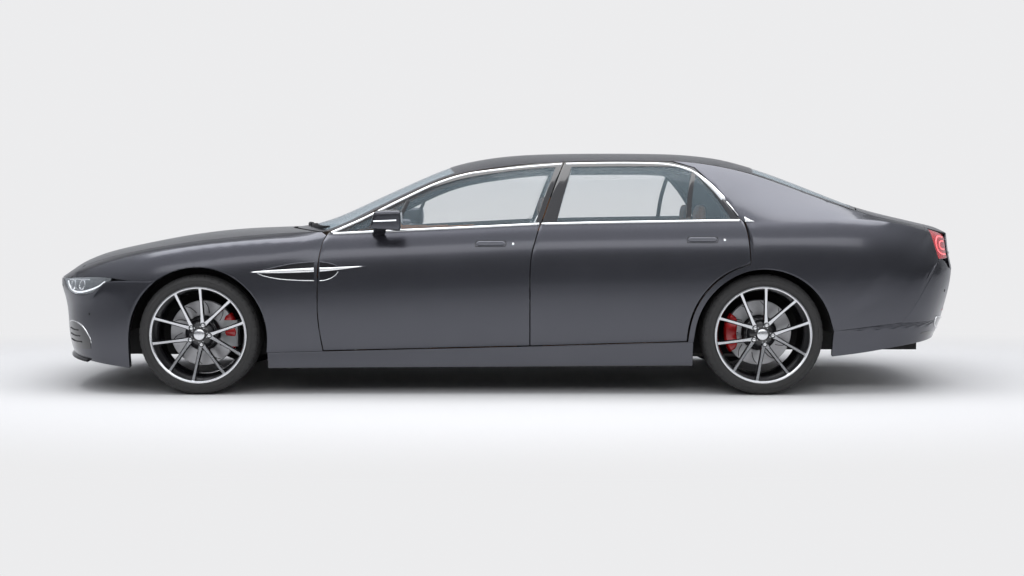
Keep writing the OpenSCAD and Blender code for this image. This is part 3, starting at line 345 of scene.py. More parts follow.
PAINT = Finish("satin_charcoal", (0.072, 0.074, 0.087), (0.082, 0.084, 0.098), "body_paint", metallic=0.90,
               rough=0.26, rough_swing=0.03, coat=0.50, coat_rough=0.10, grain=Grain.FLAKE,
               grain_scale=2600.0, grain_depth=0.00002)
CHROME = Finish("bright_trim", (0.86, 0.87, 0.88), (0.80, 0.81, 0.82), "wheel_alloy", metallic=1.0,
                rough=0.09, rough_swing=0.03, grain=Grain.NONE)
GLOSS_BLACK = Finish("gloss_black_trim", (0.008, 0.008, 0.010), (0.012, 0.012, 0.014), "grille_black",
                     rough=0.12, coat=0.6, grain=Grain.NONE)
TRIM_BLACK = Finish("moulded_black", (0.012, 0.012, 0.013), (0.020, 0.020, 0.021), "pillar_black", rough=0.6)
UNDERBODY = Finish("underbody_coat", (0.012, 0.012, 0.012), (0.024, 0.023, 0.022), "underbody_black",
                   rough=0.85, grain_scale=250.0, grain_depth=0.0008)
GLASS = Finish("clear_glass", (0.36, 0.46, 0.52), (0.38, 0.48, 0.54), "glass_clear", rough=0.03,
               rough_swing=0.0, grain=Grain.NONE, alpha=0.08)
LENS = Finish("lamp_lens", (0.75, 0.82, 0.88), (0.78, 0.84, 0.90), "lamp_clear", rough=0.03, rough_swing=0.0,
              grain=Grain.NONE, alpha=0.08)
RED_LENS = Finish("red_lamp_lens", (0.62, 0.05, 0.06), (0.55, 0.03, 0.04), "lamp_red", rough=0.06,
                  rough_swing=0.02, coat=1.0, grain=Grain.NONE)
LEATHER = Finish("tan_leather", (0.42, 0.19, 0.075), (0.33, 0.14, 0.052), "leather_tan", rough=0.48,
                 rough_swing=0.1, grain=Grain.LEATHER, grain_scale=330.0, grain_depth=0.0009)
DARK_LEATHER = Finish("dark_leather", (0.030, 0.022, 0.018), (0.045, 0.034, 0.028), "wheel_leather",
                      rough=0.5, grain=Grain.LEATHER, grain_scale=380.0, grain_depth=0.0007)
CARPET = Finish("loop_carpet", (0.05, 0.035, 0.025), (0.09, 0.06, 0.04), "underbody_black", rough=0.95,
                grain=Grain.WEAVE, grain_scale=900.0, grain_depth=0.002)
LINING = Finish("roof_lining", (0.62, 0.57, 0.50), (0.55, 0.50, 0.44), "leather_tan", rough=0.9,
                grain=Grain.WEAVE, grain_scale=1400.0, grain_depth=0.0005)
WOOD = Finish("dark_veneer", (0.06, 0.025, 0.012), (0.13, 0.055, 0.022), "leather_tan", rough=0.25, coat=0.8,
              grain=Grain.TURNED, grain_scale=60.0, grain_depth=0.0001)
MACHINED = Finish("machined_alloy", (0.80, 0.81, 0.83), (0.70, 0.71, 0.73), "wheel_alloy", metallic=1.0,
                  rough=0.22, rough_swing=0.08, grain=Grain.TURNED, grain_scale=700.0, grain_depth=0.00008)
WHEEL_BLACK = Finish("wheel_black", (0.010, 0.010, 0.012), (0.016, 0.016, 0.018), "wheel_alloy", rough=0.2,
                     coat=0.5, grain=Grain.NONE)
DISC_STEEL = Finish("brake_steel", (0.52, 0.52, 0.53), (0.40, 0.40, 0.41), "wheel_alloy", metallic=0.9,
                    rough=0.34, rough_swing=0.12, grain=Grain.TURNED, grain_scale=500.0, grain_depth=0.0001)
CALIPER_RED = Finish("caliper_paint", (0.60, 0.012, 0.014), (0.50, 0.008, 0.010), "caliper_red", rough=0.25,
                     coat=0.9, grain=Grain.MOULDED, grain_scale=200.0, grain_depth=0.0002)
RUBBER = Finish("tyre_rubber", (0.022, 0.022, 0.023), (0.040, 0.039, 0.038), "tyre_black", rough=0.72,
                rough_swing=0.12, grain=Grain.SIDEWALL, grain_scale=600.0, grain_depth=0.0005)
CAST = Finish("cast_alloy", (0.42, 0.43, 0.44), (0.32, 0.33, 0.34), "cast_alloy", metallic=0.8, rough=0.5,
              rough_swing=0.15, grain_scale=260.0, grain_depth=0.0007)
IRON = Finish("coated_iron", (0.025, 0.025, 0.026), (0.045, 0.043, 0.041), "axle_iron", metallic=0.4,
              rough=0.6, grain_scale=220.0, grain_depth=0.0006)
STEEL = Finish("exhaust_steel", (0.45, 0.43, 0.41), (0.33, 0.29, 0.25), "exhaust_steel", metallic=1.0,
               rough=0.38, rough_swing=0.15, grain=Grain.TURNED, grain_scale=180.0, grain_depth=0.0002)
LIGHT_WHITE = Finish("light_strip", (0.95, 0.97, 1.0), (0.92, 0.95, 1.0), "lamp_clear", rough=0.2,
                     grain=Grain.NONE, glow=0.7)
LIGHT_RED = Finish("red_light_strip", (1.0, 0.16, 0.18), (1.0, 0.22, 0.22), "lamp_red", rough=0.2,
                   grain=Grain.NONE, glow=0.8)
SCREEN = Finish("dark_screen", (0.006, 0.007, 0.009), (0.009, 0.010, 0.012), "grille_black", rough=0.08,
                coat=0.8, grain=Grain.NONE)
PLATE = Finish("blank_plate", (0.78, 0.78, 0.76), (0.72, 0.72, 0.70), "lamp_clear", rough=0.35,
               grain_scale=300.0, grain_depth=0.0001)
FINISHES: tuple[Finish, ...] = (PAINT, CHROME, GLOSS_BLACK, TRIM_BLACK, UNDERBODY, GLASS, LENS, RED_LENS,
                                LEATHER, DARK_LEATHER, CARPET, LINING, WOOD, MACHINED, WHEEL_BLACK,
                                DISC_STEEL, CALIPER_RED, RUBBER, CAST, IRON, STEEL, LIGHT_WHITE, LIGHT_RED,
                                SCREEN, PLATE)


class Bench:
    """Workbench: makes, finishes and mounts meshes."""

    MERGE = 2e-5

    @staticmethod
    def only(obj: Piece) -> None:
        """Selects one object alone and makes it active.

        Args:
            obj: the object.
        """
        bpy.ops.object.select_all(action="DESELECT")
        obj.select_set(True)
        bpy.context.view_layer.objects.active = obj

    @classmethod
    def apply(cls, obj: Piece, kind: str, **settings: object) -> None:
        """Adds a modifier with these settings and applies it.

        Args:
            obj: the piece.
            kind: the modifier's type.
            settings: its properties.
        """
        cls.only(obj)
        made = obj.modifiers.new(kind.lower(), kind)
        for key, value in settings.items():
            setattr(made, key, value)
        bpy.ops.object.modifier_apply(modifier=made.name)

    @classmethod
    def smooth(cls, obj: Piece, angle: float = 35.0) -> None:
        """Shades smooth except over sharp edges."""
        cls.only(obj)
        bpy.ops.object.shade_smooth_by_angle(angle=math.radians(angle))

    @classmethod
    def mesh(cls, name: str, verts: Iterable[Point], faces: Iterable[Sequence[int]]) -> Piece:
        """A new object from points and faces, with doubles merged and faces turned outwards.

        Args:
            name: the piece's name.
            verts: points in metres.
            faces: loops of point numbers.

        Returns:
            The object, at the origin.
        """
        data = bpy.data.meshes.new(name)
        data.from_pydata([tuple(v) for v in verts], [], [tuple(f) for f in faces])
        obj = bpy.data.objects.new(name, data)
        bpy.context.scene.collection.objects.link(obj)
        work = bmesh.new()
        work.from_mesh(data)
        bmesh.ops.remove_doubles(work, verts=work.verts, dist=cls.MERGE)
        bmesh.ops.recalc_face_normals(work, faces=work.faces)
        work.to_mesh(data)
        work.free()
        return obj

    @classmethod
    def finish(cls, obj: Piece, finish: Finish, body: str, bevel: float = 0.0, angle: float = 35.0,
               levels: int = 0) -> Piece:
        """Rounds edges, gives the finish and mounts the piece on its body.

        Args:
            obj: the piece.
            finish: its finish.
            body: the frame's body that it rides on.
            bevel: width of the rounded edges in metres, or nought.
            angle: edges over this many degrees stay sharp.
            levels: levels of subdivision.

        Returns:
            The piece.
        """
        if bevel:
            cls.apply(obj, "BEVEL", width=bevel, segments=2, limit_method="ANGLE",
                      angle_limit=math.radians(angle))
        if levels:
            cls.apply(obj, "SUBSURF", levels=levels, render_levels=levels)
        cls.smooth(obj, angle)
        if not obj.data.materials:
            obj.data.materials.append(finish.material())
        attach(obj, body)
        LOG.info("%s: %d faces", obj.name, len(obj.data.polygons))
        return obj

    @classmethod
    def moved(cls, obj: Piece, matrix: Matrix) -> Piece:
        """Puts a place into a piece's mesh, and turns mirrored faces back.

        Args:
            obj: the piece.
            matrix: where it goes.

        Returns:
            The piece.
        """
        obj.data.transform(matrix)
        if matrix.determinant() < 0:
            obj.data.flip_normals()
        return obj

    @classmethod
    def twin(cls, obj: Piece, name: str, body: str, slot: str, matrix: Matrix) -> Piece:
        """Copies a finished piece, with its own mesh, to another place and body.

        Args:
            obj: the finished piece.
            name: the copy's name.
            body: the body it rides on.
            slot: not used.
            matrix: where the copy goes.

        Returns:
            The copy.
        """
        copy = bpy.data.objects.new(name, obj.data.copy())
        bpy.context.scene.collection.objects.link(copy)
        cls.moved(copy, matrix)
        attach(copy, body)
        return copy

    @classmethod
    def join(cls, name: str, parts: Sequence[Piece]) -> Piece:
        """Joins pieces into one object.

        Args:
            name: the whole's name.
            parts: the pieces.

        Returns:
            The whole.
        """
        cls.only(parts[0])
        for part in parts:
            part.select_set(True)
        bpy.ops.object.join()
        parts[0].name = name
        return parts[0]


MIRROR = Matrix.Scale(-1.0, 4, Vector((0.0, 1.0, 0.0)))


def hoops(total: int, count: int, ring: bool = False) -> list[list[int]]:
    """Faces between loops of points that follow one another.

    Args:
        total: number of loops.
        count: points in each loop.
        ring: joins the last loop to the first; otherwise both ends are closed.

    Returns:
        Faces as point numbers.
    """
    faces = [[k * count + i, k * count + (i + 1) % count, (k + 1) % total * count + (i + 1) % count,
              (k + 1) % total * count + i] for k in range(total if ring else total - 1) for i in range(count)]
    if not ring:
        faces += [list(range(count))[::-1], [(total - 1) * count + i for i in range(count)]]
    return faces


def lathe(profile: Section, turns: int, place: Callable[[float, float, float], Point]) -> Solid:
    """Turned shape from a profile of radius and height.

    Args:
        profile: loop of radius and height pairs.
        turns: steps around.
        place: gives a point from a radius, an angle and a height.

    Returns:
        Points and faces.
    """
    verts = [place(r, 2 * math.pi * k / turns, h) for k in range(turns) for r, h in profile]
    return verts, hoops(turns, len(profile), True)


def sweep(path: Sequence[Vector], ups: Sequence[Vector], sections: Sequence[Section],
          ring: bool = False) -> Solid:
    """Bar along a path; each section's points are offsets across and along the up direction.

    Args:
        path: points along the bar.
        ups: up direction at each point.
        sections: a loop of across and up offsets at each point.
        ring: joins the last section to the first.

    Returns:
        Points and faces.
    """
    total = len(path)
    verts: list[Vector] = []
    for k, here in enumerate(path):
        before = path[k - 1] if k or ring else here
        after = path[(k + 1) % total] if k < total - 1 or ring else here
        across = (after - before).normalized().cross(ups[k]).normalized()
        verts += [here + across * a + ups[k] * b for a, b in sections[k]]
    return verts, hoops(total, len(sections[0]), ring)


def curve(points: Sequence[Point], steps: int) -> list[Vector]:
    """Smooth line through points, with that many steps a span.

    Args:
        points: places that the line passes.
        steps: steps between two of them.

    Returns:
        Points along the line.
    """
    pts = [Vector(p) for p in points]
    line: list[Vector] = []
    for k in range(len(pts) - 1):
        a, b, c, d = pts[max(0, k - 1)], pts[k], pts[k + 1], pts[min(len(pts) - 1, k + 2)]
        for s in range(steps):
            t = s / steps
            line.append(0.5 * (2 * b + (c - a) * t + (2 * a - 5 * b + 4 * c - d) * t ** 2
                               + (3 * b - a - 3 * c + d) * t ** 3))
    return line + [pts[-1]]


class Skin:
    """Outer skin of some pieces, to lay trim on."""

    FAR = 3.0

    def __init__(self, pieces: Sequence[Piece]) -> None:
        """Takes the pieces whose skin is read.

        Args:
            pieces: objects whose faces count.
        """
        verts: list[Vector] = []
        faces: list[list[int]] = []
        for piece in pieces:
            base = len(verts)
            verts += [v.co.copy() for v in piece.data.vertices]
            faces += [[base + i for i in p.vertices] for p in piece.data.polygons]
        self.tree = BVHTree.FromPolygons(verts, faces)

    def ray(self, start: Point, way: Point, reach: float = 2 * FAR) -> tuple[Vector, Vector]:
        """First point and normal met along a way, or the nearest point beside it where nothing is met.

        Args:
            start: where the ray starts.
            way: its direction.
            reach: how far it goes.

        Returns:
            The point, and the normal against the ray.
        """
        line = Vector(way).normalized()
        point, normal, _, _ = self.tree.ray_cast(Vector(start), line, reach)
        if point is None:
            tries = [self.tree.find_nearest(Vector(start) + line * (reach * k / 120)) for k in range(120)]
            return min(tries, key=lambda hit: hit[3])[0], -line
        return point, normal if normal.dot(line) < 0 else -normal

    def side(self, x: float, z: float) -> tuple[Vector, Vector]:
        """Point and normal of the left side at a station and height."""
        return self.ray((x, self.FAR, z), (0, -1, 0), self.FAR)

    def top(self, x: float, y: float) -> tuple[Vector, Vector]:
        """Point and normal of the top."""
        return self.ray((x, y, self.FAR), (0, 0, -1))

    def end(self, y: float, z: float, way: int) -> tuple[Vector, Vector]:
        """Point and normal of the nose with way 1, or the tail with way -1."""
        return self.ray((way * self.FAR * 1.5, y, z), (-way, 0, 0))


class PanelShop:
    """Turns the frame's panels into smooth skins with rounded edges."""

    SHARP = math.radians(34)
    BEND = math.cos(math.radians(28))

    def copy(self, node: str) -> Piece:
        """A welded copy of a frame node, with its triangles joined to quads and its edges creased.

        Args:
            node: the frame node's name.

        Returns:
            The copy, ready to be subdivided.
        """
        data = frame["nodes"][node].data.copy()
        data.materials.clear()
        obj = bpy.data.objects.new(node + "_skin", data)
        bpy.context.scene.collection.objects.link(obj)
        work = bmesh.new()
        work.from_mesh(data)
        bmesh.ops.remove_doubles(work, verts=work.verts, dist=Bench.MERGE)
        bmesh.ops.join_triangles(work, faces=work.faces, angle_face_threshold=0.5, angle_shape_threshold=1.2)
        edge_crease = work.edges.layers.float.new("crease_edge")
        vert_crease = work.verts.layers.float.new("crease_vert")
        for edge in work.edges:
            if len(edge.link_faces) != 2 or edge.calc_face_angle(0.0) > self.SHARP:
                edge[edge_crease] = 1.0
        for vert in work.verts:
            ways = [(e.other_vert(vert).co - vert.co).normalized() for e in vert.link_edges
                    if e[edge_crease] > 0]
            if ways and not any(a.dot(b) < -self.BEND for k, a in enumerate(ways) for b in ways[:k]):
                vert[vert_crease] = 1.0
        work.to_mesh(data)
        work.free()
        return obj

    def dress(self, node: str, body: str, pick: Pick, finishes: Sequence[Finish],
              bevel: float = 0.0022, levels: int = 2) -> Piece:
        """Makes the skin of one node.

        Args:
            node: the frame node it stands for.
            body: the body it rides on.
            pick: number of a face's finish from its middle and its normal.
            finishes: the finishes that pick chooses from.
            bevel: width of the rounded panel edges in metres.
            levels: levels of subdivision.

        Returns:
            The skin.
        """
        obj = self.copy(node)
        if levels:
            Bench.apply(obj, "SUBSURF", levels=levels, render_levels=levels,
                        boundary_smooth="PRESERVE_CORNERS")
        if bevel:
            Bench.apply(obj, "BEVEL", width=bevel, segments=2, limit_method="ANGLE", angle_limit=self.SHARP,
                        use_clamp_overlap=True)
        for finish in finishes:
            obj.data.materials.append(finish.material())
        for face in obj.data.polygons:
            face.material_index = pick(face.center, face.normal)
        Bench.finish(obj, finishes[0], body, angle=40.0)
        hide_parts(node)
        return obj


def plain(_: Vector, __: Vector) -> int:
    """Picks the first finish everywhere."""
    return 0


@dataclass
class BodyShell:
    """Body panels, doors, lids and glass, in paint outside and trim inside."""

    trim_z: float = 0.50
    frame_z: float = 0.93
    sash: float = 0.006
    skins: dict[str, Piece] = field(default_factory=dict)
    PAINTED = ("sills", "fenders", "quarter_panels", "front_bumper", "rear_bumper")
    BELT = ((-1.40, 0.980), (-0.85, 0.973), (-0.20, 0.960), (0.20, 0.941), (0.966, 0.905), (1.10, 0.897))

    @classmethod
    def belt(cls, x: float) -> float:
        """Height of the line under the side windows."""
        return next((a[1] + (b[1] - a[1]) * (x - a[0]) / (b[0] - a[0]) for a,
                     b in zip(cls.BELT, cls.BELT[1:]) if x <= b[0]), cls.BELT[-1][1])

    def door_pick(self, side: Side) -> Pick:
        """Paint on a door's outside, black on its frame's edges, trim inside.

        Args:
            side: the door's side of the car.

        Returns:
            What picks a face's finish.
        """
        def pick(middle: Vector, normal: Vector) -> int:
            """Number of the finish of one face."""
            out = normal.y * side.value
            if out > -0.25:
                return 4 if middle.z > self.belt(middle.x) + self.sash else 0
            return 2 if middle.z > self.frame_z else 1 if middle.z > self.trim_z else 3
        return pick

    def build(self, shop: PanelShop) -> None:
        """Dresses every panel and pane.

        Args:
            shop: dresses the frame's nodes.
        """
        for node in self.PAINTED:
            self.skins[node] = shop.dress(node, "body", plain, [PAINT])
        self.skins["roof"] = shop.dress("roof", "body", lambda m, n: 1 if n.z < -0.25 else 0, [PAINT, LINING])
        for panel, body in (("hood", "hood_panel"), ("boot_lid", "boot_panel")):
            self.skins[panel] = shop.dress(panel, body, lambda m, n: 1 if n.z < -0.45 else 0,
                [PAINT, TRIM_BLACK])
        for side in Side:
            for place in ("front", "rear"):
                node = f"door_{place}_{side.word}"
                self.skins[node] = shop.dress(node, f"{place}_{side.word}_door", self.door_pick(side),
                                              [PAINT, LEATHER, TRIM_BLACK, CARPET, GLOSS_BLACK])
                shop.dress(f"glass_{place}_{side.word}", f"{place}_{side.word}_door", plain, [GLASS],
                           bevel=0.0)
        for node in ("windscreen", "rear_window"):
            shop.dress(node, "body", plain, [GLASS], bevel=0.0)

    def skin(self, *words: str) -> Skin:
        """Skin of the panels whose names hold one of these words, or of all."""
        return Skin([o for n, o in self.skins.items() if not words or any(w in n for w in words)])


@dataclass(frozen=True)
class Studio:
    """Pale floor and backdrop, soft light and the photograph's camera."""

    camera_at: tuple[float, float, float] = (-0.038, 8.93, 1.104)
    pitch: float = 3.55
    lens: float = 50.15
    floor_half: float = 30.0
    wall_y: float = -9.0
    floor_colour: Colour = (0.66, 0.66, 0.665)
    pale: Colour = (0.84, 0.84, 0.85)
    pale_from: tuple[float, float] = (1.7, 3.4)
    squeeze: Point = (0.45, 1.0, 1.0)
    sky: tuple[float, float, float, float] = (0.05, 0.75, 0.10, 1.0)
    sky_tint: Colour = (0.93, 0.95, 1.0)
    overhead: float = 330.0
    near: float = 92.0

    def floor(self) -> None:
        """Adds the floor, which sweeps up into a backdrop."""
        rows = [(self.floor_half, 0.0)] + [(self.wall_y - 4.0 * math.sin(a), 4.0 - 4.0 * math.cos(a))
                                           for a in [math.radians(9 * k) for k in range(11)]]
        rows.append((rows[-1][0], 16.0))
        verts = [(x, y, z) for y, z in rows for x in (-self.floor_half, self.floor_half)]
        faces = [(2 * k, 2 * k + 1, 2 * k + 3, 2 * k + 2) for k in range(len(rows) - 1)]
        obj = Bench.mesh("studio_floor", verts, faces)
        shader = Shader("studio_paper")
        shader.set("Base Color", shader.tone(shader.noise(0.8, 2.0), self.floor_colour, self.floor_colour))
        shader.set("Roughness", 0.75)
        seen = Value(shader, shader.node("ShaderNodeLightPath").outputs["Is Camera Ray"])
        away = shader.node("ShaderNodeVectorMath", {"operation": "LENGTH"},
                           {0: shader.stretched(self.squeeze)})
        far = Value(shader, away.outputs["Value"]).ramp(*self.pale_from)
        pale = shader.node("ShaderNodeEmission", {}, {"Color": (*self.pale, 1.0), "Strength": 1.0})
        paper = shader.node("ShaderNodeMixShader", {}, {0: seen * far, 1: shader.principled.outputs[0],
                                                        2: pale.outputs[0]})
        viewer = shader.node("ShaderNodeNewGeometry").outputs["Incoming"]
        under = 1.0 - Value(shader, shader.node("ShaderNodeSeparateXYZ", {},
            {0: viewer}).outputs[2]).over(0.0)
        clear = shader.node("ShaderNodeBsdfTransparent")
        whole = shader.node("ShaderNodeMixShader", {}, {0: seen * under, 1: paper.outputs[0],
            2: clear.outputs[0]})
        shader.feed(shader.output.inputs["Surface"], whole.outputs[0])
        obj.data.materials.append(shader.material)
        Bench.smooth(obj)

    def lamp(self, name: str, at: Point, aim: Point, size: tuple[float, float], power: float) -> None:
        """Adds a soft box that looks at a point.

        Args:
            name: the lamp's name.
            at: its place.
            aim: the point it looks at.
            size: its width and height.
            power: its power in watts.
        """
        data = bpy.data.lights.new(name, "AREA")
        data.shape = "RECTANGLE"
        data.size, data.size_y = size
        data.energy = power
        obj = bpy.data.objects.new(name, data)
        obj.location = at
        obj.rotation_euler = (Vector(aim) - Vector(at)).to_track_quat("-Z", "Y").to_euler()
        bpy.context.scene.collection.objects.link(obj)

    def air(self, tree: bpy.types.NodeTree) -> None:
        """Makes a soft sky that lights the car, and a pale ground behind it that only the camera sees.

        Args:
            tree: the world's nodes.
        """
        air = Nodes(tree)
        place = air.node("ShaderNodeTexCoord").outputs["Generated"]
        high = air.node("ShaderNodeSeparateXYZ", {}, {0: place}).outputs[2]
        sky = air.node("ShaderNodeMapRange", {}, dict(enumerate((high, *self.sky)))).outputs[0]
        light = air.node("ShaderNodeBackground", {}, {0: (*self.sky_tint, 1.0), 1: sky})
        pale = air.node("ShaderNodeBackground", {}, {0: (*self.pale, 1.0)})
        seen = air.node("ShaderNodeLightPath").outputs["Is Camera Ray"]
        both = air.node("ShaderNodeMixShader", {}, {0: seen, 1: light.outputs[0], 2: pale.outputs[0]})
        air.node("ShaderNodeOutputWorld", {}, {"Surface": both.outputs[0]})

    def build(self) -> None:
        """Sets up the floor, the light and the camera."""
        scene = bpy.context.scene
        scene.view_settings.view_transform = "Standard"
        self.floor()
        world = bpy.data.worlds.new("studio_air")
        world.use_nodes = True
        self.air(world.node_tree)
        scene.world = world
        self.lamp("overhead_box", (0.0, 0.5, 5.2), (0.0, 0.0, 0.0), (9.0, 3.5), self.overhead)
        self.lamp("near_box", (0.0, 7.0, 4.2), (0.0, 0.0, 0.6), (10.0, 2.0), self.near)
        data = bpy.data.cameras.new("photo_camera")
        data.lens = self.lens
        data.sensor_width = 36.0
        camera = bpy.data.objects.new("photo_camera", data)
        camera.location = self.camera_at
        camera.rotation_euler = (math.radians(90 - self.pitch), 0.0, math.pi)
        scene.collection.objects.link(camera)
        scene.camera = camera


@dataclass(frozen=True)
class RoadWheel:
    """One wheel size: a rim with Y-spokes, nuts, cap, brake disc and tyre."""

    name: str
    x: float
    y: float
    tyre_r: float
    width: float
    rim_r: float = 0.262
    disc_r: float = 0.187
    disc_in: float = 0.058
    disc_t: float = 0.032
    nut_r: float = 0.057
    nut_turn: float = -5.0
    count: int = 5
    steps: int = 3
    turns: int = 144

    @property
    def half(self) -> float:
        """Half the rim's width."""
        return self.width / 2 - 0.009

    def at(self, r: float, angle: float, out: float) -> Vector:
        """Point on the left wheel from a radius, an angle seen from outside and a place along the axle."""
        return Vector((self.x - r * math.cos(angle), self.y + out, self.tyre_r + r * math.sin(angle)))

    def turned(self, name: str, profile: Section, finish: Finish, body: str, angle: float = 30.0) -> Piece:
        """A turned piece of the wheel from a closed profile of radius and place along the axle."""
        obj = Bench.mesh(name, *lathe(profile, self.turns, self.at))
        return Bench.finish(obj, finish, body, angle=angle)

    def face_out(self, r: float) -> float:
        """How far out the spokes' face lies at a radius: dished towards the hub."""
        share = min(1.0, max(0.0, (r - 0.04) / (self.rim_r - 0.04)))
        return self.half - 0.030 + 0.026 * share ** 1.4

    def arm(self, stem: float, hand: int) -> Solid:
        """One arm of a Y-spoke: a curved bar with a flat face and drawn-in black flanks.

        Args:
            stem: angle of the spoke's stem in degrees.
            hand: -1 or 1 for the arm's side.

        Returns:
            Points and faces.
        """
        stations = [(0.040, 1.0, 0.0135), (0.056, 4.5, 0.0125), (0.075, 8.5, 0.0105), (0.100, 12.6, 0.0090),
                    (0.135, 15.8, 0.0080), (0.175, 17.8, 0.0076), (0.220, 19.2, 0.0078),
                    (0.252, 20.0, 0.0086), (0.264, 20.3, 0.0100)]
        path, sections = [], []
        for r, turn, half in stations:
            angle = math.radians(stem + hand * turn)
            path.append(self.at(r, angle, self.face_out(r)))
            deep = -0.046 + 0.05 * r
            sections.append([(-half, -0.0022), (-half + 0.0016, 0.0), (half - 0.0016, 0.0), (half, -0.0022),
                             (half + 0.004, -0.012), (half + 0.001, deep), (-half - 0.001, deep),
                             (-half - 0.004, -0.012)])
        line = curve(path, self.steps)
        return sweep(line, [AXLE] * len(line), self.eased(sections, self.steps))

    @staticmethod
    def eased(sections: Sequence[Section], steps: int) -> list[Section]:
        """Sections with even steps in between.

        Args:
            sections: sections along a bar.
            steps: steps between two of them.

        Returns:
            All the sections.
        """
        out = []
        for a, b in zip(sections, sections[1:]):
            out += [[((1 - s / steps) * p[0] + s / steps * q[0], (1 - s / steps) * p[1] + s / steps * q[1])
                     for p, q in zip(a, b)] for s in range(steps)]
        return out + [list(sections[-1])]

    def spokes(self, body: str) -> Piece:
        """The ten arms, with machined faces and black flanks.

        Args:
            body: the body it rides on.

        Returns:
            The piece.
        """
        arms = []
        for k in range(self.count):
            for hand in (-1, 1):
                arms.append(Bench.mesh(f"arm_{k}_{hand}", *self.arm(self.nut_turn + 72 * k, hand)))
        obj = Bench.join(self.name + "_spokes", arms)
        obj.data.materials.append(MACHINED.material())
        obj.data.materials.append(WHEEL_BLACK.material())
        for face in obj.data.polygons:
            face.material_index = 0 if face.normal.y > 0.5 else 1
        return Bench.finish(obj, MACHINED, body, angle=28.0)

    def rim(self, body: str) -> None:
        """Barrel, bright lip, hub bowl and cap.

        Args:
            body: the body it rides on.
        """
        h, r = self.half, self.rim_r
        self.turned(self.name + "_barrel", [(r + 0.012, h - 0.002), (r + 0.004, h - 0.001),
            (r - 0.003, h - 0.006), (r - 0.010, h - 0.030), (r - 0.018, h - 0.070), (r - 0.026, 0.0),
            (r - 0.028, -h + 0.05), (r - 0.014, -h + 0.012), (r - 0.004, -h), (r + 0.012, -h),
            (r + 0.012, -h + 0.008), (r, -h + 0.010), (r, -h + 0.05), (r - 0.016, 0.0),
            (r - 0.006, h - 0.05), (r, h - 0.012), (r + 0.010, h - 0.010)], WHEEL_BLACK, body)
        self.turned(self.name + "_lip", [(r + 0.0135, h - 0.004), (r + 0.0125, h + 0.0012),
            (r + 0.006, h + 0.0018), (r + 0.0005, h - 0.001), (r - 0.0015, h - 0.0055),
            (r + 0.004, h - 0.006)], MACHINED, body)
        face = self.face_out(0.04)
        self.turned(self.name + "_hub", [(0.0335, face - 0.002), (0.040, face + 0.0005),
            (0.048, face - 0.001), (0.060, face - 0.010), (0.074, face - 0.020), (0.084, face - 0.034),
            (0.086, face - 0.055), (0.080, -self.disc_in + 0.03), (0.0335, -self.disc_in + 0.03)],
                    WHEEL_BLACK, body)
        self.turned(self.name + "_cap", [
            (0.0005, face + 0.0065), (0.012, face + 0.006), (0.024, face + 0.0042), (0.0305, face + 0.001),
            (0.0325, face - 0.004), (0.0325, face - 0.02), (0.0005, face - 0.02)], MACHINED, body)

    def nuts(self, body: str) -> Piece:
        """Five wheel nuts in their sunk seats.

        Args:
            body: the body it rides on.

        Returns:
            The piece.
        """
        parts = []
        for k in range(self.count):
            angle = math.radians(self.nut_turn + 72 * k)
            middle = self.at(self.nut_r, angle, self.face_out(self.nut_r) + 0.0015)
            bpy.ops.object.select_all(action="DESELECT")
            bpy.ops.mesh.primitive_cylinder_add(vertices=6, radius=0.0098, depth=0.016, location=middle,
                                                rotation=(math.pi / 2, 0.0, 0.0))
            nut = bpy.context.object
            bpy.ops.object.transform_apply(location=True, rotation=True, scale=True)
            Bench.apply(nut, "BEVEL", width=0.0022, segments=2)
            parts.append(nut)
            seat = [(0.0105, -0.02), (0.0105, 0.001), (0.0118, 0.0022), (0.0150, 0.0022), (0.0162, 0.0005),
                    (0.0162, -0.02)]
            ring = Bench.mesh("seat", *lathe(seat, 32, lambda r, a, o, m=middle: m + Vector((
                r * math.cos(a), o - 0.001, r * math.sin(a)))))
            parts.append(ring)
        obj = Bench.join(self.name + "_nuts", parts)
        obj.data.materials.clear()
        obj.data.materials.append(CHROME.material())
        obj.data.materials.append(WHEEL_BLACK.material())
        for face in obj.data.polygons:
            off = min(math.hypot(face.center.x - m.x, face.center.z - m.z)
                      for m in [self.at(self.nut_r, math.radians(self.nut_turn + 72 * k), 0.0)
                                for k in range(self.count)])
            face.material_index = 1 if off > 0.0101 else 0
        return Bench.finish(obj, CHROME, body, angle=25.0)

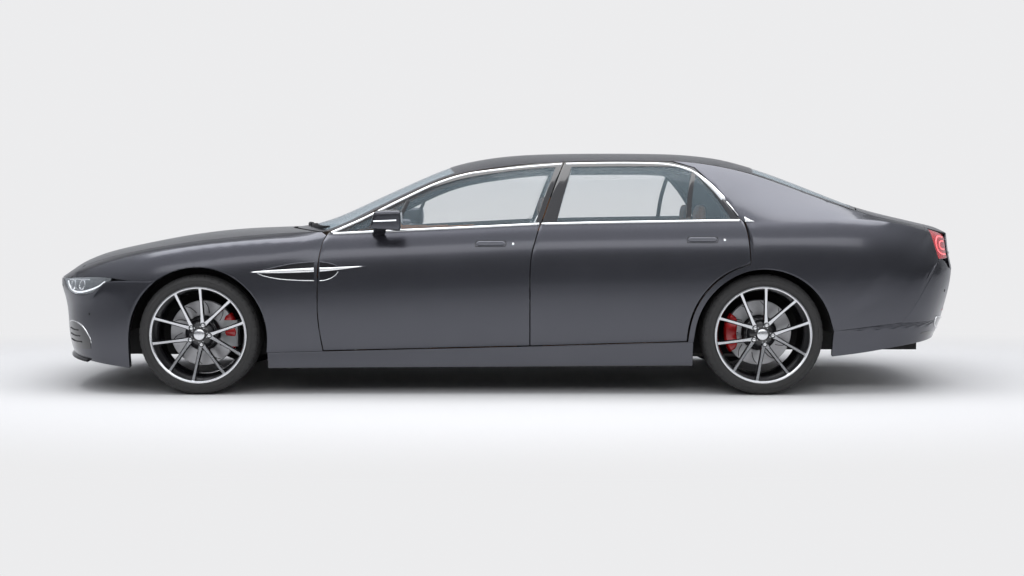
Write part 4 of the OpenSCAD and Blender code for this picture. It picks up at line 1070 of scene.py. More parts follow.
    def disc(self, body: str) -> Piece:
        """Vented brake disc with its hat, drive pins and dark strips that paint the shade of its slots.

        Args:
            body: the body it rides on.

        Returns:
            The piece.
        """
        low, top, r = -self.disc_in, -self.disc_in + self.disc_t, self.disc_r
        obj = Bench.mesh("disc", *lathe([
            (0.098, low), (r - 0.002, low), (r, low + 0.002), (r, low + 0.011), (r - 0.012, low + 0.012),
            (r - 0.012, top - 0.012), (r, top - 0.011), (r, top - 0.002), (r - 0.002, top), (0.104, top),
            (0.102, top + 0.003), (0.098, top + 0.003)], self.turns, self.at))
        hat = Bench.mesh("hat", *lathe([(0.0985, low + 0.004), (0.0985, top + 0.004), (0.094, top + 0.008),
            (0.086, top + 0.024), (0.078, top + 0.028), (0.04, top + 0.028), (0.04, low + 0.004)],
            self.turns, self.at))
        pins = [Bench.mesh("pin", *lathe([(0.0005, 0.0), (0.0052, 0.0), (0.0052, 0.005), (0.004, 0.0062),
            (0.0005, 0.0062)], 16, lambda s, a, o, m=self.at(0.1065, math.radians(36 * k + 12),
            top - 0.001): m + Vector((s * math.cos(a), o, s * math.sin(a))))) for k in range(10)]
        # Dark strips just proud of the disc face stand for the slots: painted shade of grooves that are not
        # cut.
        slot_shade_strips = [Bench.mesh("groove", *sweep(curve([self.at(q, math.radians(36 * k + t), top + 0.0002)
            for q, t in ((0.118, 0), (0.140, 4), (0.162, 9), (0.180, 15))], self.steps), [AXLE] * 10,
            [[(-0.0022, -0.001), (-0.0022, 0.0002), (0.0022, 0.0002), (0.0022, -0.001)]] * 10))
                 for k in range(10)]
        count = len(obj.data.polygons)
        whole = Bench.join(self.name + "_disc", [obj, hat] + pins + slot_shade_strips)
        whole.data.materials.append(DISC_STEEL.material())
        whole.data.materials.append(WHEEL_BLACK.material())
        for face in whole.data.polygons:
            r_here = math.hypot(face.center.x - self.x, face.center.z - self.tyre_r)
            # Slot strips take the black finish as painted shade of the grooves; faces nearer the hub than 0.1
            # m are black as well.
            groove = face.index >= count and r_here > 0.112
            face.material_index = 1 if groove or r_here < 0.1 else 0
        return Bench.finish(whole, DISC_STEEL, body, angle=30.0)

    def tyre(self, body: str) -> Piece:
        """Low tyre with rounded flanks, sidewall rings, grooves and cut shoulder blocks.

        Args:
            body: the body it rides on.

        Returns:
            The piece.
        """
        w, r = self.width / 2, self.tyre_r
        rim = self.rim_r + 0.0005
        seat = self.half - 0.0102
        flank = [(rim, seat - 0.004), (rim + 0.010, seat), (rim + 0.0135, seat + 0.004),
                 (rim + 0.016, w - 0.006), (rim + 0.020, w - 0.0025), (rim + 0.0225, w - 0.0032),
                 (rim + 0.0235, w - 0.001), (rim + 0.033, w), (r - 0.038, w - 0.0005),
                 (r - 0.0375, w - 0.002), (r - 0.034, w - 0.0022), (r - 0.0335, w - 0.0008),
                 (r - 0.024, w - 0.004), (r - 0.015, w - 0.010)]
        tread = [(r - 0.0085, w - 0.0175), (r - 0.0045, w - 0.026), (r - 0.0022, w - 0.034),
                 (r - 0.0085, w - 0.0345), (r - 0.0085, w - 0.041), (r - 0.0016, w - 0.0415),
                 (r - 0.0005, 0.062), (r - 0.0080, 0.0615), (r - 0.0080, 0.0515), (r - 0.0004, 0.051),
                 (r, 0.019), (r - 0.0080, 0.0185), (r - 0.0080, 0.009), (r, 0.0085)]
        half = flank + [p for p in tread if p[1] < w]
        profile = half + [(q, -o) for q, o in reversed(half)]
        verts, faces = lathe(profile, 2 * self.turns, self.at)
        count = len(profile)
        cut = {k for k, (q, o) in enumerate(profile) if q > r - 0.016 and abs(o) > w - 0.035
               and q > r - 0.0084 or (q == r - 0.015)}
        for k, vert in enumerate(verts):
            step, spot = divmod(k, count)
            if spot in cut and step % 6 == 0:
                middle = Vector((self.x, vert[1], self.tyre_r))
                verts[k] = middle + (Vector(vert) - middle) * (1 - 0.006 / r)
        obj = Bench.mesh(self.name + "_tread_tyre", verts, faces)
        return Bench.finish(obj, RUBBER, body, angle=24.0)

    def build(self, left_body: str, right_body: str) -> None:
        """Makes the left wheel and its mirrored twin, in place of the frame's wheels and tyres.

        Args:
            left_body: body of the left wheel.
            right_body: body of the right wheel.
        """
        before = set(bpy.data.objects)
        self.spokes(left_body)
        self.rim(left_body)
        self.nuts(left_body)
        self.disc(left_body)
        self.tyre(left_body)
        made = sorted((o for o in set(bpy.data.objects) - before), key=lambda o: o.name)
        for obj in made:
            slot = RUBBER.slot if "tyre" in obj.name else MACHINED.slot
            twin = Bench.twin(obj, obj.name + "_right", right_body, slot, MIRROR)
            for piece, side in ((obj, "left"), (twin, "right")):
                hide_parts(f"{'tyre' if 'tyre' in obj.name else 'wheel'}_{self.name}_{side}")


@dataclass(frozen=True)
class Brakes:
    """Red calipers over the discs."""

    inner_r: float = 0.128
    outer_r: float = 0.203
    spread: float = 34.0
    out_high: float = 0.003
    out_low: float = -0.088

    def caliper(self, wheel: RoadWheel, name: str, middle: float, body: str) -> Piece:
        """A caliper bridge around the disc's edge, on the left wheel.

        Args:
            wheel: the wheel it sits in.
            name: the piece's name.
            middle: angle of its middle, seen from outside.
            body: the body it rides on.

        Returns:
            The piece.
        """
        top, low = -wheel.disc_in + wheel.disc_t + 0.0062, -wheel.disc_in - 0.0062
        rim = wheel.disc_r + 0.0075
        hub = wheel.at(0.0, 0.0, 0.0)
        ups, sections = [], []
        for k in range(21):
            share = k / 10 - 1
            angle = math.radians(middle + self.spread * share)
            shrink = 1.0 - 0.42 * abs(share) ** 5
            bump = 0.006 * math.cos(share * math.pi * 2.0) * (1 - abs(share))
            out = self.out_high + bump if shrink > 0.7 else self.out_high - 0.006
            inner = self.outer_r - (self.outer_r - self.inner_r) * shrink
            ups.append(wheel.at(1.0, angle, 0.0) - hub)
            sections.append([(inner, top), (inner + 0.004, out - 0.004), (inner + 0.012, out),
                             (self.outer_r - 0.014, out), (self.outer_r - 0.003, out - 0.008),
                             (self.outer_r, out - 0.02), (self.outer_r, self.out_low + 0.006),
                             (self.outer_r - 0.006, self.out_low), (inner + 0.004, self.out_low),
                             (inner, low), (rim, low), (rim, top)])
        verts = [hub + up * r + AXLE * o for up, loop in zip(ups, sections) for r, o in loop]
        obj = Bench.mesh(name, verts, hoops(len(sections), len(sections[0])))
        return Bench.finish(obj, CALIPER_RED, body, bevel=0.0025, angle=32.0)

    def build(self, front: RoadWheel, rear: RoadWheel) -> None:
        """Makes the four calipers; the rear ones stand for the frame's.

        Args:
            front: the front wheel.
            rear: the rear wheel.
        """
        left = self.caliper(front, "caliper_front_left", 2.0, "left_knuckle")
        Bench.twin(left, "caliper_front_right", "right_knuckle", CALIPER_RED.slot, MIRROR)
        back = self.caliper(rear, "caliper_rear_left", 180.0, "body")
        twin = Bench.twin(back, "caliper_rear_right", "body", CALIPER_RED.slot, MIRROR)
        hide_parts("rear_calipers")
        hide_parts("rear_calipers")


Lay = Callable[[float, float], tuple[Vector, Vector]]
Line = tuple[tuple[float, float], ...]
Rows = tuple[tuple[float, float, float], ...]
SENSOR: Section = ((0.0001, 0.0012), (0.008, 0.001), (0.0095, -0.002), (0.0001, -0.002))


def slab(top: Sequence[Sequence[Vector]], low: Sequence[Sequence[Vector]]) -> Solid:
    """Closed plate between two grids of the same size.

    Args:
        top: rows of points of the upper side.
        low: the same for the lower side.

    Returns:
        Points and faces.
    """
    rows, cols = len(top), len(top[0])
    verts = [v for grid in (top, low) for row in grid for v in row]
    back = rows * cols
    faces = []
    for j in range(rows - 1):
        for i in range(cols - 1):
            a = j * cols + i
            faces += [[a, a + 1, a + cols + 1, a + cols], [back + a, back + a + cols, back + a + cols + 1,
                back + a + 1]]
    rim = (list(range(cols)) + [j * cols + cols - 1 for j in range(1, rows)]
           + [(rows - 1) * cols + i for i in range(cols - 2, -1, -1)]
           + [j * cols for j in range(rows - 2, 0, -1)])
    faces += [[a, b, back + b, back + a] for a, b in zip(rim, rim[1:] + rim[:1])]
    return verts, faces


@dataclass(frozen=True)
class TrimShop:
    """Lays strips, rings, patches and knobs on the body's skin."""

    lay: Lay
    sunk: float = 0.003

    def strip(self, name: str, points: Sequence[tuple[float, float]], halves: Sequence[float], rise: float,
              finish: Finish, body: str, ring: bool = False, steps: int = 5) -> Piece:
        """A domed strip along a line on the skin.

        Args:
            name: the piece's name.
            points: places on the skin.
            halves: half widths, spread evenly along the strip.
            rise: height over the skin.
            finish: its finish.
            body: the body it rides on.
            ring: closes the strip on itself.
            steps: steps between two points.

        Returns:
            The piece.
        """
        line = curve([(a, b, 0.0) for a, b in (list(points) + [points[0]] if ring else points)], steps)
        line = line[:-1] if ring else line
        path, ups, sections = [], [], []
        for k, spot in enumerate(line):
            place, normal = self.lay(spot.x, spot.y)
            share = k / max(1, len(line) - 1) * (len(halves) - 1)
            low = min(int(share), len(halves) - 2) if len(halves) > 1 else 0
            half = halves[0] if len(halves) == 1 else halves[low] + (halves[low
                + 1] - halves[low]) * (share - low)
            path.append(place)
            ups.append(normal)
            sections.append([(-half, -self.sunk), (-half, rise * 0.25), (-half * 0.72, rise * 0.8),
                             (0.0, rise), (half * 0.72, rise * 0.8), (half, rise * 0.25),
                             (half, -self.sunk)])
        return Bench.finish(Bench.mesh(name, *sweep(path, ups, sections, ring)), finish, body, angle=50.0)

    def patch(self, name: str, rows: Sequence[tuple[float, float, float]], rise: float, dome: float,
              finish: Finish, body: str, cols: int = 12, steps: int = 5) -> Piece:
        """A plate on the skin from rows of a place and its low and high ends.

        Args:
            name: the piece's name.
            rows: along, low and high of each row.
            rise: height of its border over the skin.
            dome: more height in its middle; less than nought gives a hollow.
            finish: its finish.
            body: the body it rides on.
            cols: steps across.
            steps: steps between two rows.

        Returns:
            The piece.
        """
        top, low = [], []
        for along, bottom, high in curve(rows, steps):
            line = [self.lay(along, bottom + (high - bottom) * k / cols) for k in range(cols + 1)]
            swell = [dome * (1 - (2 * k / cols - 1) ** 4) for k in range(cols + 1)]
            top.append([p + n * (rise + s) for (p, n), s in zip(line, swell)])
            low.append([p - n * self.sunk for p, n in line])
        return Bench.finish(Bench.mesh(name, *slab(top, low)), finish, body, angle=40.0)

    def knob(self, name: str, a: float, b: float, profile: Section, finish: Finish, body: str, turns: int = 40
             ) -> Piece:
        """A turned piece that stands square on the skin; its profile gives radius and height.

        Args:
            name: the piece's name.
            a: first place on the skin.
            b: second place.
            profile: loop of radius and height.
            finish: its finish.
            body: the body it rides on.
            turns: steps around.

        Returns:
            The piece.
        """
        place, normal = self.lay(a, b)
        across = normal.orthogonal().normalized()
        other = normal.cross(across)
        obj = Bench.mesh(name, *lathe(profile, turns, lambda r, t, h: place + across * (r * math.cos(t))
                                      + other * (r * math.sin(t)) + normal * h))
        return Bench.finish(obj, finish, body, angle=30.0)


def mirrored(obj: Piece, body: str) -> Piece:
    """The right-hand twin of a left-hand piece."""
    slot = next(f.slot for f in FINISHES if f.name == obj.data.materials[0].name)
    return Bench.twin(obj, obj.name.replace("left", "right"), body, slot, MIRROR)


def capsule(x: float, z: float, half_l: float, half_h: float, count: int = 20) -> list[tuple[float, float]]:
    """Outline of a long rounded shape.

    Args:
        x: its middle along the car.
        z: its middle's height.
        half_l: half its length.
        half_h: half its height.
        count: number of points.

    Returns:
        The points.
    """
    out = []
    for k in range(count):
        angle = 2 * math.pi * k / count
        shift = (half_l - half_h) * (1 if math.cos(angle) >= 0 else -1)
        out.append((x + shift + half_h * math.cos(angle), z + half_h * math.sin(angle)))
    return out


@dataclass(frozen=True)
class SideTrim:
    """Bright window surrounds, dividers, handles, side vents and strakes of both sides."""

    strip_half: float = 0.0068
    strip_rise: float = 0.004
    belt: Line = ((0.975, 0.911), (0.60, 0.929), (0.199, 0.947), (-0.191, 0.966))
    rear_belt: Line = ((-0.203, 0.966), (-0.50, 0.973), (-0.847, 0.979), (-1.20, 0.985), (-1.336, 0.986))
    crown: Line = ((0.985, 0.917), (0.86, 0.971), (0.777, 1.010), (0.66, 1.070), (0.547, 1.126),
                   (0.43, 1.182), (0.325, 1.222), (0.24, 1.246), (0.146, 1.263), (-0.09, 1.290),
                   (-0.326, 1.309))
    rear_crown: Line = ((-0.352, 1.310), (-0.60, 1.315), (-0.80, 1.3135), (-0.92, 1.308), (-1.01, 1.291),
                        (-1.08, 1.263), (-1.145, 1.214), (-1.205, 1.150), (-1.262, 1.078), (-1.315, 1.006))
    rear_halves: tuple[float, ...] = (0.0085, 0.0115, 0.015, 0.018)
    bars: tuple[tuple[str, Line, float, str], ...] = (("quarter_light_bar_left",
        ((0.603, 0.938), (0.593, 1.017), (0.573, 1.058), (0.553, 1.105)), 0.011, "front"),
        ("rear_light_bar_left", ((-1.037, 0.985), (-1.048, 1.10), (-1.068, 1.20), (-1.086, 1.262)), 0.013,
         "rear"))
    corner: Rows = ((-1.352, 0.979, 1.006), (-1.368, 0.979, 0.995), (-1.386, 0.979, 0.986),
                    (-1.402, 0.979, 0.981))
    handles: tuple[tuple[str, float, float, float], ...] = (
        ("front", 0.082, 0.855, -0.044), ("rear", -1.108, 0.877, -1.232))
    handle_half: float = 0.083
    handle_round: float = 0.0135
    lock: Section = ((0.0001, 0.0022), (0.005, 0.002), (0.0065, 0.0008), (0.0068, -0.003), (0.0001, -0.003))
    vent_rows: tuple[tuple[str, Rows, str, str], ...] = (("vent_fender",
        ((1.392, 0.690, 0.696), (1.36, 0.676, 0.706), (1.28, 0.659, 0.727), (1.18, 0.651, 0.745),
         (1.076, 0.648, 0.753)), "body", "body"), ("vent_door", ((1.043, 0.648, 0.753),
        (1.02, 0.650, 0.751), (0.985, 0.660, 0.745), (0.955, 0.680, 0.735), (0.940, 0.700, 0.722)),
        "front_left_door", "front_right_door"))
    strakes: tuple[tuple[str, Line, tuple[float, ...], str, str], ...] = (
        ("strake_fender", ((1.436, 0.6955), (1.36, 0.6975), (1.22, 0.7025), (1.076, 0.709)),
         (0.0008, 0.006, 0.010, 0.0125, 0.0130), "body", "body"),
        ("strake_door", ((1.043, 0.7105), (0.98, 0.714), (0.88, 0.722), (0.785, 0.7305)),
         (0.0130, 0.0105, 0.006, 0.0008), "front_left_door", "front_right_door"))

    def windows(self, shop: TrimShop, glass: TrimShop) -> None:
        """Chrome along the belt and the roof line, and the black dividers.

        Args:
            shop: lays trim on the side's skin.
            glass: lays trim on the panes.
        """
        for pts, crown, place in ((self.belt, self.crown, "front"),
                (self.rear_belt, self.rear_crown, "rear")):
            body = f"{place}_left_door"
            mate = f"{place}_right_door"
            low = shop.strip(f"belt_chrome_{place}_left", pts, [self.strip_half], self.strip_rise, CHROME,
                             body)
            wider = self.rear_halves if place == "rear" else ()
            top_halves = [self.strip_half] * (len(wider) or 1) + list(wider)
            top = shop.strip(f"crown_chrome_{place}_left", crown, top_halves, self.strip_rise, CHROME, body)
            mirrored(low, mate)
            mirrored(top, mate)
        for name, pts, half, place in self.bars:
            bar = glass.strip(name, pts, [half], 0.002, GLOSS_BLACK, f"{place}_left_door")
            mirrored(bar, f"{place}_right_door")

    def pillar_end(self, shop: TrimShop) -> None:
        """Bright corner piece behind the rear door's glass."""
        mirrored(shop.patch("pillar_chrome_left", self.corner, 0.0025, 0.0012, CHROME, "body", 6, 3), "body")

    def door_handles(self, shop: TrimShop) -> None:
        """Flush handles with a thin dark ring that paints the shadow line of the gap, and a lock beside each.

        Args:
            shop: lays trim on the side's skin.
        """
        for place, x, z, lock in self.handles:
            body, mate = f"{place}_left_door", f"{place}_right_door"
            gap_shade_outline = capsule(x, z, self.handle_half + 0.004, self.handle_round + 0.003)
            # Thin black ring round the handle: painted shade of the gap around it.
            ring = shop.strip(f"handle_gap_{place}_left", gap_shade_outline, [0.0016], 0.0006, TRIM_BLACK, body, True, 3)
            rows = []
            for k in range(13):
                t = -1 + k / 6
                over = max(0.0, abs(t) * self.handle_half - (self.handle_half - self.handle_round))
                half = math.sqrt(max(0.0, self.handle_round ** 2 - over ** 2)) + 0.0003
                rows.append((x + self.handle_half * t, z - half, z + half))
            pad = shop.patch(f"handle_{place}_left", rows, 0.0008, 0.0030, PAINT, body, 8, 2)
            key = shop.knob(f"lock_{place}_left", lock, z, self.lock, CHROME, body, 28)
            for piece in (ring, pad, key):
                mirrored(piece, mate)

    def vents(self, shop: TrimShop) -> None:
        """Side vents, each a dark gloss patch that paints the shade of the scoop, with a bright strake that
        runs on over the door.

        Args:
            shop: lays trim on the side's skin.
        """
        for name, rows, body, mate in self.vent_rows:
            # The patch dips only 0.6 mm; its gloss black is painted shade of the scoop's recess.
            hollow = shop.patch(name + "_left", rows, 0.0012, -0.0006, GLOSS_BLACK, body, 14, 5)
            low = shop.strip(name + "_low_rim_left", [(x, a) for x, a, _ in rows], [0.0022], 0.0042, CHROME,
                             body)
            high = shop.strip(name + "_high_rim_left", [(x, b) for x, _, b in rows], [0.0030], 0.0050,
                              PAINT, body)
            for piece in (hollow, low, high):
                mirrored(piece, mate)
        for name, pts, halves, body, mate in self.strakes:
            mirrored(shop.strip(name + "_left", pts, halves, 0.0085, CHROME, body), mate)

    def build(self, shell: BodyShell) -> None:
        """Makes all the trim of both sides.

        Args:
            shell: the dressed panels.
        """
        panes = [bpy.data.objects[f"glass_{p}_left_skin"] for p in ("front", "rear")]
        panels = [o for n, o in shell.skins.items() if any(w in n for w in ("door", "fenders", "quarter"))]
        shop = TrimShop(Skin(panels + panes).side)
        self.windows(shop, TrimShop(Skin(panes).side))
        self.pillar_end(shop)
        self.door_handles(shop)
        self.vents(shop)


@dataclass(frozen=True)
class Mirrors:
    """Rounded door mirrors with a silvered glass and a turn lamp."""

    voxel: float = 0.005
    rounds: int = 34

    def build(self) -> None:
        """Rounds the frame's mirrors and adds their glass and lamp."""
        for side in Side:
            body = f"front_{side.word}_door"
            node = f"mirror_{side.word}"
            data = frame["nodes"][node].data.copy()
            data.materials.clear()
            obj = bpy.data.objects.new(node + "_shell", data)
            bpy.context.scene.collection.objects.link(obj)
            Bench.apply(obj, "REMESH", mode="VOXEL", voxel_size=self.voxel)
            Bench.apply(obj, "SMOOTH", factor=0.5, iterations=self.rounds)
            Bench.finish(obj, PAINT, body, angle=60.0)
            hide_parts(node)
        skin = Skin([bpy.data.objects["mirror_left_shell"]])
        shop = TrimShop(lambda y, z: skin.ray((0.2, y, z), (1, 0, 0)), 0.004)
        rows = [(0.950, 0.957, 1.022), (0.962, 0.947, 1.032), (0.995, 0.945, 1.034), (1.03, 0.947, 1.031),
                (1.052, 0.957, 1.020)]
        glass = shop.patch("mirror_glass_left", rows, 0.0012, 0.0, CHROME, "front_left_door", 10, 4)
        mirrored(glass, "front_right_door")
        lamp = TrimShop(skin.side).strip("turn_lamp_left", [(0.728, 0.985), (0.69, 0.986), (0.64, 0.988),
            (0.60, 0.990)], [0.0035], 0.002, LIGHT_WHITE, "front_left_door")
        mirrored(lamp, "front_right_door")


def around(skin: Skin, x: float, way: int, depth: float = 0.0) -> Lay:
    """Lay of an end of the car by the angle around a point, in degrees, and the height.

    Args:
        skin: the skin to lay on.
        x: station of the point.
        way: 1 for the nose, -1 for the tail.
        depth: how far behind the skin.

    Returns:
        The lay.
    """
    def lay(angle: float, z: float) -> tuple[Vector, Vector]:
        """Point and normal at an angle and a height."""
        out = Vector((way * math.cos(math.radians(angle)), math.sin(math.radians(angle)), 0.0))
        place, normal = skin.ray(Vector((x, 0.0, z)) + out * 2.0, -out)
        return place - normal * depth, normal
    return lay


@dataclass(frozen=True)
class Lamps:
    """Clear headlamps with light strips and lenses, and red tail lamps with bright lines."""

    front_x: float = 1.85
    rear_x: float = -1.85
    day_light: Line = ((40.5, 0.634), (42.5, 0.606), (45.5, 0.581), (49.0, 0.572), (53.5, 0.577),
                       (58.0, 0.594), (61.5, 0.617), (63.6, 0.642))
    brow: Line = ((42.5, 0.646), (47.0, 0.650), (52.0, 0.652), (56.5, 0.653))
    projectors: Rows = ((46.5, 0.615, 0.024), (52.6, 0.618, 0.024))
    tail_lines: tuple[tuple[Line, float], ...] = ((((39.6, 0.885), (42.0, 0.889), (45.5, 0.888),
        (47.6, 0.866), (48.2, 0.838), (47.4, 0.808), (44.5, 0.790), (40.6, 0.786)), 0.0045),
        (((40.4, 0.860), (42.0, 0.863), (44.6, 0.857), (45.6, 0.838), (44.8, 0.822), (42.4, 0.815),
          (40.8, 0.814)), 0.0035))

    @staticmethod
    def outer(x: float) -> Pick:
        """Picks the first finish on faces that look away from a point on the middle line."""
        return lambda m, n: 0 if n.dot(Vector((m.x - x, m.y, 0.0)).normalized()) > 0.35 else 1

    def head(self, shop: PanelShop) -> None:
        """Headlamps: lens, black bowl, light strip, two projector lenses and a side bar.

        Args:
            shop: dresses the frame's nodes.
        """
        skin = Skin([shop.dress("headlamps", "body", self.outer(self.front_x), [LENS, GLOSS_BLACK])])
        deep = TrimShop(around(skin, self.front_x, 1, 0.012))
        strip = deep.strip("day_light_left", self.day_light, [0.0035, 0.005, 0.005, 0.004, 0.0025], 0.004,
                           LIGHT_WHITE, "body")
        mirrored(strip, "body")
        brow = deep.strip("lamp_brow_left", self.brow, [0.006], 0.004, CHROME, "body")
        mirrored(brow, "body")
        for k, (angle, z, r) in enumerate(self.projectors):
            ring = deep.knob(f"projector_ring_{k}_left", angle, z,
                             [(r + 0.005, -0.004), (r + 0.005, 0.002), (r + 0.002, 0.004), (r, 0.002),
                              (r, -0.004)], CHROME, "body")
            lens = deep.knob(f"projector_lens_{k}_left", angle, z,
                             [(0.0001, 0.007), (r * 0.5, 0.0055), (r * 0.8, 0.003), (r - 0.001, -0.001),
                              (r - 0.001, -0.004), (0.0001, -0.004)], SCREEN, "body")
            mirrored(ring, "body")
            mirrored(lens, "body")

    def tail(self, shop: PanelShop) -> None:
        """Tail lamps with nested bright lines.

        Args:
            shop: dresses the frame's nodes.
        """
        skin = Skin([shop.dress("tail_lamps", "body", self.outer(self.rear_x), [RED_LENS, GLOSS_BLACK])])
        face = TrimShop(around(skin, self.rear_x, -1))
        for k, (pts, half) in enumerate(self.tail_lines):
            mirrored(face.strip(f"tail_line_{k}_left", pts, [half], 0.0025, LIGHT_RED, "body"), "body")

    def build(self, shop: PanelShop) -> None:
        """Makes all four lamps."""
        self.head(shop)
        self.tail(shop)


@dataclass(frozen=True)
class FrontEnd:
    """Slatted grille in a bright frame, corner intakes, splitter, blank plate and sensors."""

    mouth: Rows = ((40.5, 0.272, 0.392), (44.0, 0.256, 0.402), (49.0, 0.246, 0.398), (53.5, 0.246, 0.372),
                   (57.0, 0.252, 0.318))
    plate_half: float = 0.255
    slats: int = 29
    half: float = 0.388
    low: float = 0.312
    high: float = 0.512

    def build(self, shop: PanelShop, shell: BodyShell) -> None:
        """Makes the front end.

        Args:
            shop: dresses the frame's nodes.
            shell: the dressed panels.
        """
        depth = Skin([shop.dress("grille", "body", plain, [GLOSS_BLACK], levels=1)])
        back = TrimShop(lambda y, z: depth.end(y, z, 1))
        for k in range(self.slats):
            y = self.half * (2 * k / (self.slats - 1) - 1)
            back.strip(f"grille_slat_{k}", [(y, self.low), (y, (self.low + self.high) / 2), (y, self.high)],
                       [0.0042], 0.013, CHROME, "body", steps=3)
        for name, z in (("low", self.low + 0.003), ("high", self.high - 0.003)):
            back.strip(f"grille_rail_{name}", [(self.half * t, z) for t in (-1, -0.5, 0, 0.5, 1)], [0.006],
                       0.017, CHROME, "body")
        skin = shell.skin("front_bumper", "hood", "fenders")
        nose = TrimShop(lambda y, z: skin.end(y, z, 1))
        corner = TrimShop(around(skin, 1.85, 1))
        nose.patch("front_plate", [(y, 0.537, 0.622) for y in (-self.plate_half, 0.0, self.plate_half)],
                   0.004, 0.0, PLATE, "body", 4, 6)
        mirrored(corner.patch("corner_intake_left", self.mouth, 0.0015, 0.0, GLOSS_BLACK, "body", 12, 4),
                 "body")
        mirrored(corner.strip("intake_rim_left", [(a, h) for a, _, h in self.mouth] + [(57.6, 0.285)],
                              [0.003, 0.0045, 0.002], 0.004, CHROME, "body"), "body")
        for k in range(3):
            z = 0.286 + 0.033 * k
            mirrored(corner.strip(f"intake_vane_{k}_left", [(41.5, z + 0.006), (46.0, z), (51.5 - k, z)],
                [0.004], 0.006, TRIM_BLACK, "body"), "body")
        corner.strip("splitter", [(a, 0.206 - 0.028 * (a / 60) ** 2) for a in range(-58, 59, 8)], [0.008],
                     0.022, GLOSS_BLACK, "body")
        for angle, z in ((57.0, 0.452), (34.0, 0.60)):
            mirrored(corner.knob(f"front_sensor_{int(angle)}_left", angle, z, SENSOR,
                                 TRIM_BLACK, "body", 24), "body")


@dataclass(frozen=True)
class RearEnd:
    """Outlets, slots, diffuser, blank plate and bright strip of the tail."""

    outlet: Rows = ((27.0, 0.352, 0.384), (30.0, 0.345, 0.398), (35.0, 0.347, 0.408), (40.0, 0.355, 0.420),
                    (44.0, 0.370, 0.426), (46.0, 0.388, 0.418))
    slot: Rows = ((40.0, 0.318, 0.326), (44.0, 0.312, 0.338), (50.0, 0.320, 0.345), (55.0, 0.333, 0.341))
    plate_half: float = 0.255
    well_half: float = 0.30

    def build(self, shell: BodyShell) -> None:
        """Makes the rear end.

        Args:
            shell: the dressed panels.
        """
        skin = shell.skin("rear_bumper", "boot_lid", "quarter")
        tail = TrimShop(lambda y, z: skin.end(y, z, -1))
        corner = TrimShop(around(skin, -1.85, -1))
        tail.strip("lid_bright_strip", [(y, 0.790) for y in (-0.50, -0.25, 0.0, 0.25, 0.50)], [0.006],
                   0.005, CHROME, "boot_panel")
        tail.patch("plate_well", [(y, 0.512, 0.648) for y in (-self.well_half, 0.0, self.well_half)], 0.001,
                   -0.0005, GLOSS_BLACK, "body", 6, 6)
        tail.patch("rear_plate", [(y, 0.532, 0.628) for y in (-self.plate_half, 0.0, self.plate_half)],
                   0.004, 0.0, PLATE, "body", 4, 6)
        mirrored(corner.patch("tail_outlet_left", self.outlet, 0.0015, 0.0, GLOSS_BLACK, "body", 10, 4),
                 "body")
        loop = [(a, lo) for a, lo, _ in self.outlet] + [(a, hi) for a, _, hi in reversed(self.outlet)]
        mirrored(corner.strip("outlet_rim_left", loop, [0.0045], 0.006, CHROME, "body", True, 4), "body")
        mirrored(corner.patch("tail_slot_left", self.slot, 0.0012, 0.0, GLOSS_BLACK, "body", 8, 4), "body")
        tail.patch("diffuser", [(y, 0.306, 0.400 - 0.3 * abs(y) ** 3)
                                for y in (-0.34, -0.17, 0.0, 0.17, 0.34)], 0.002, 0.0, TRIM_BLACK, "body",
                   8, 5)
        for k in range(5):
            y = 0.28 * (k / 2 - 1)
            tail.strip(f"diffuser_fin_{k}", [(y, 0.309), (y, 0.345), (y, 0.385)], [0.004], 0.016,
                       TRIM_BLACK, "body", steps=3)
        mirrored(corner.knob("rear_sensor_left", 42.0, 0.575, SENSOR,
                             TRIM_BLACK, "body", 24), "body")
        mirrored(tail.patch("reflector_left", [(0.42, 0.452, 0.464), (0.50, 0.452, 0.464),
            (0.57, 0.455, 0.463)], 0.002, 0.0, RED_LENS, "body", 4, 4), "body")


@dataclass(frozen=True)
class Wipers:
    """Two wipers that lie at the foot of the windscreen."""

    arms: tuple[tuple[str, Line], ...] = (
        ("left", ((1.165, 0.30), (1.130, 0.45), (1.085, 0.60), (1.035, 0.69))),
        ("mid", ((1.245, -0.18), (1.228, 0.0), (1.195, 0.20), (1.150, 0.34))))
    blade_ahead: float = 0.02

    def build(self, shell: BodyShell) -> None:
        """Lays both arms, with blade and pivot.

        Args:
            shell: the dressed panels.
        """
        skin = Skin([shell.skins["roof"], bpy.data.objects["windscreen_skin"]])
        top = TrimShop(skin.top)
        for name, pts in self.arms:
            top.strip(f"wiper_arm_{name}", pts, [0.007, 0.0055, 0.004], 0.016, TRIM_BLACK, "body")
            top.strip(f"wiper_blade_{name}", [(x - self.blade_ahead, y) for x, y in pts], [0.004], 0.010,
                      RUBBER, "body")
            x, y = pts[0]
            top.knob(f"wiper_pivot_{name}", x, y, [(0.0001, 0.022), (0.008, 0.021), (0.011, 0.016),
                (0.013, -0.002), (0.0001, -0.002)], TRIM_BLACK, "body")


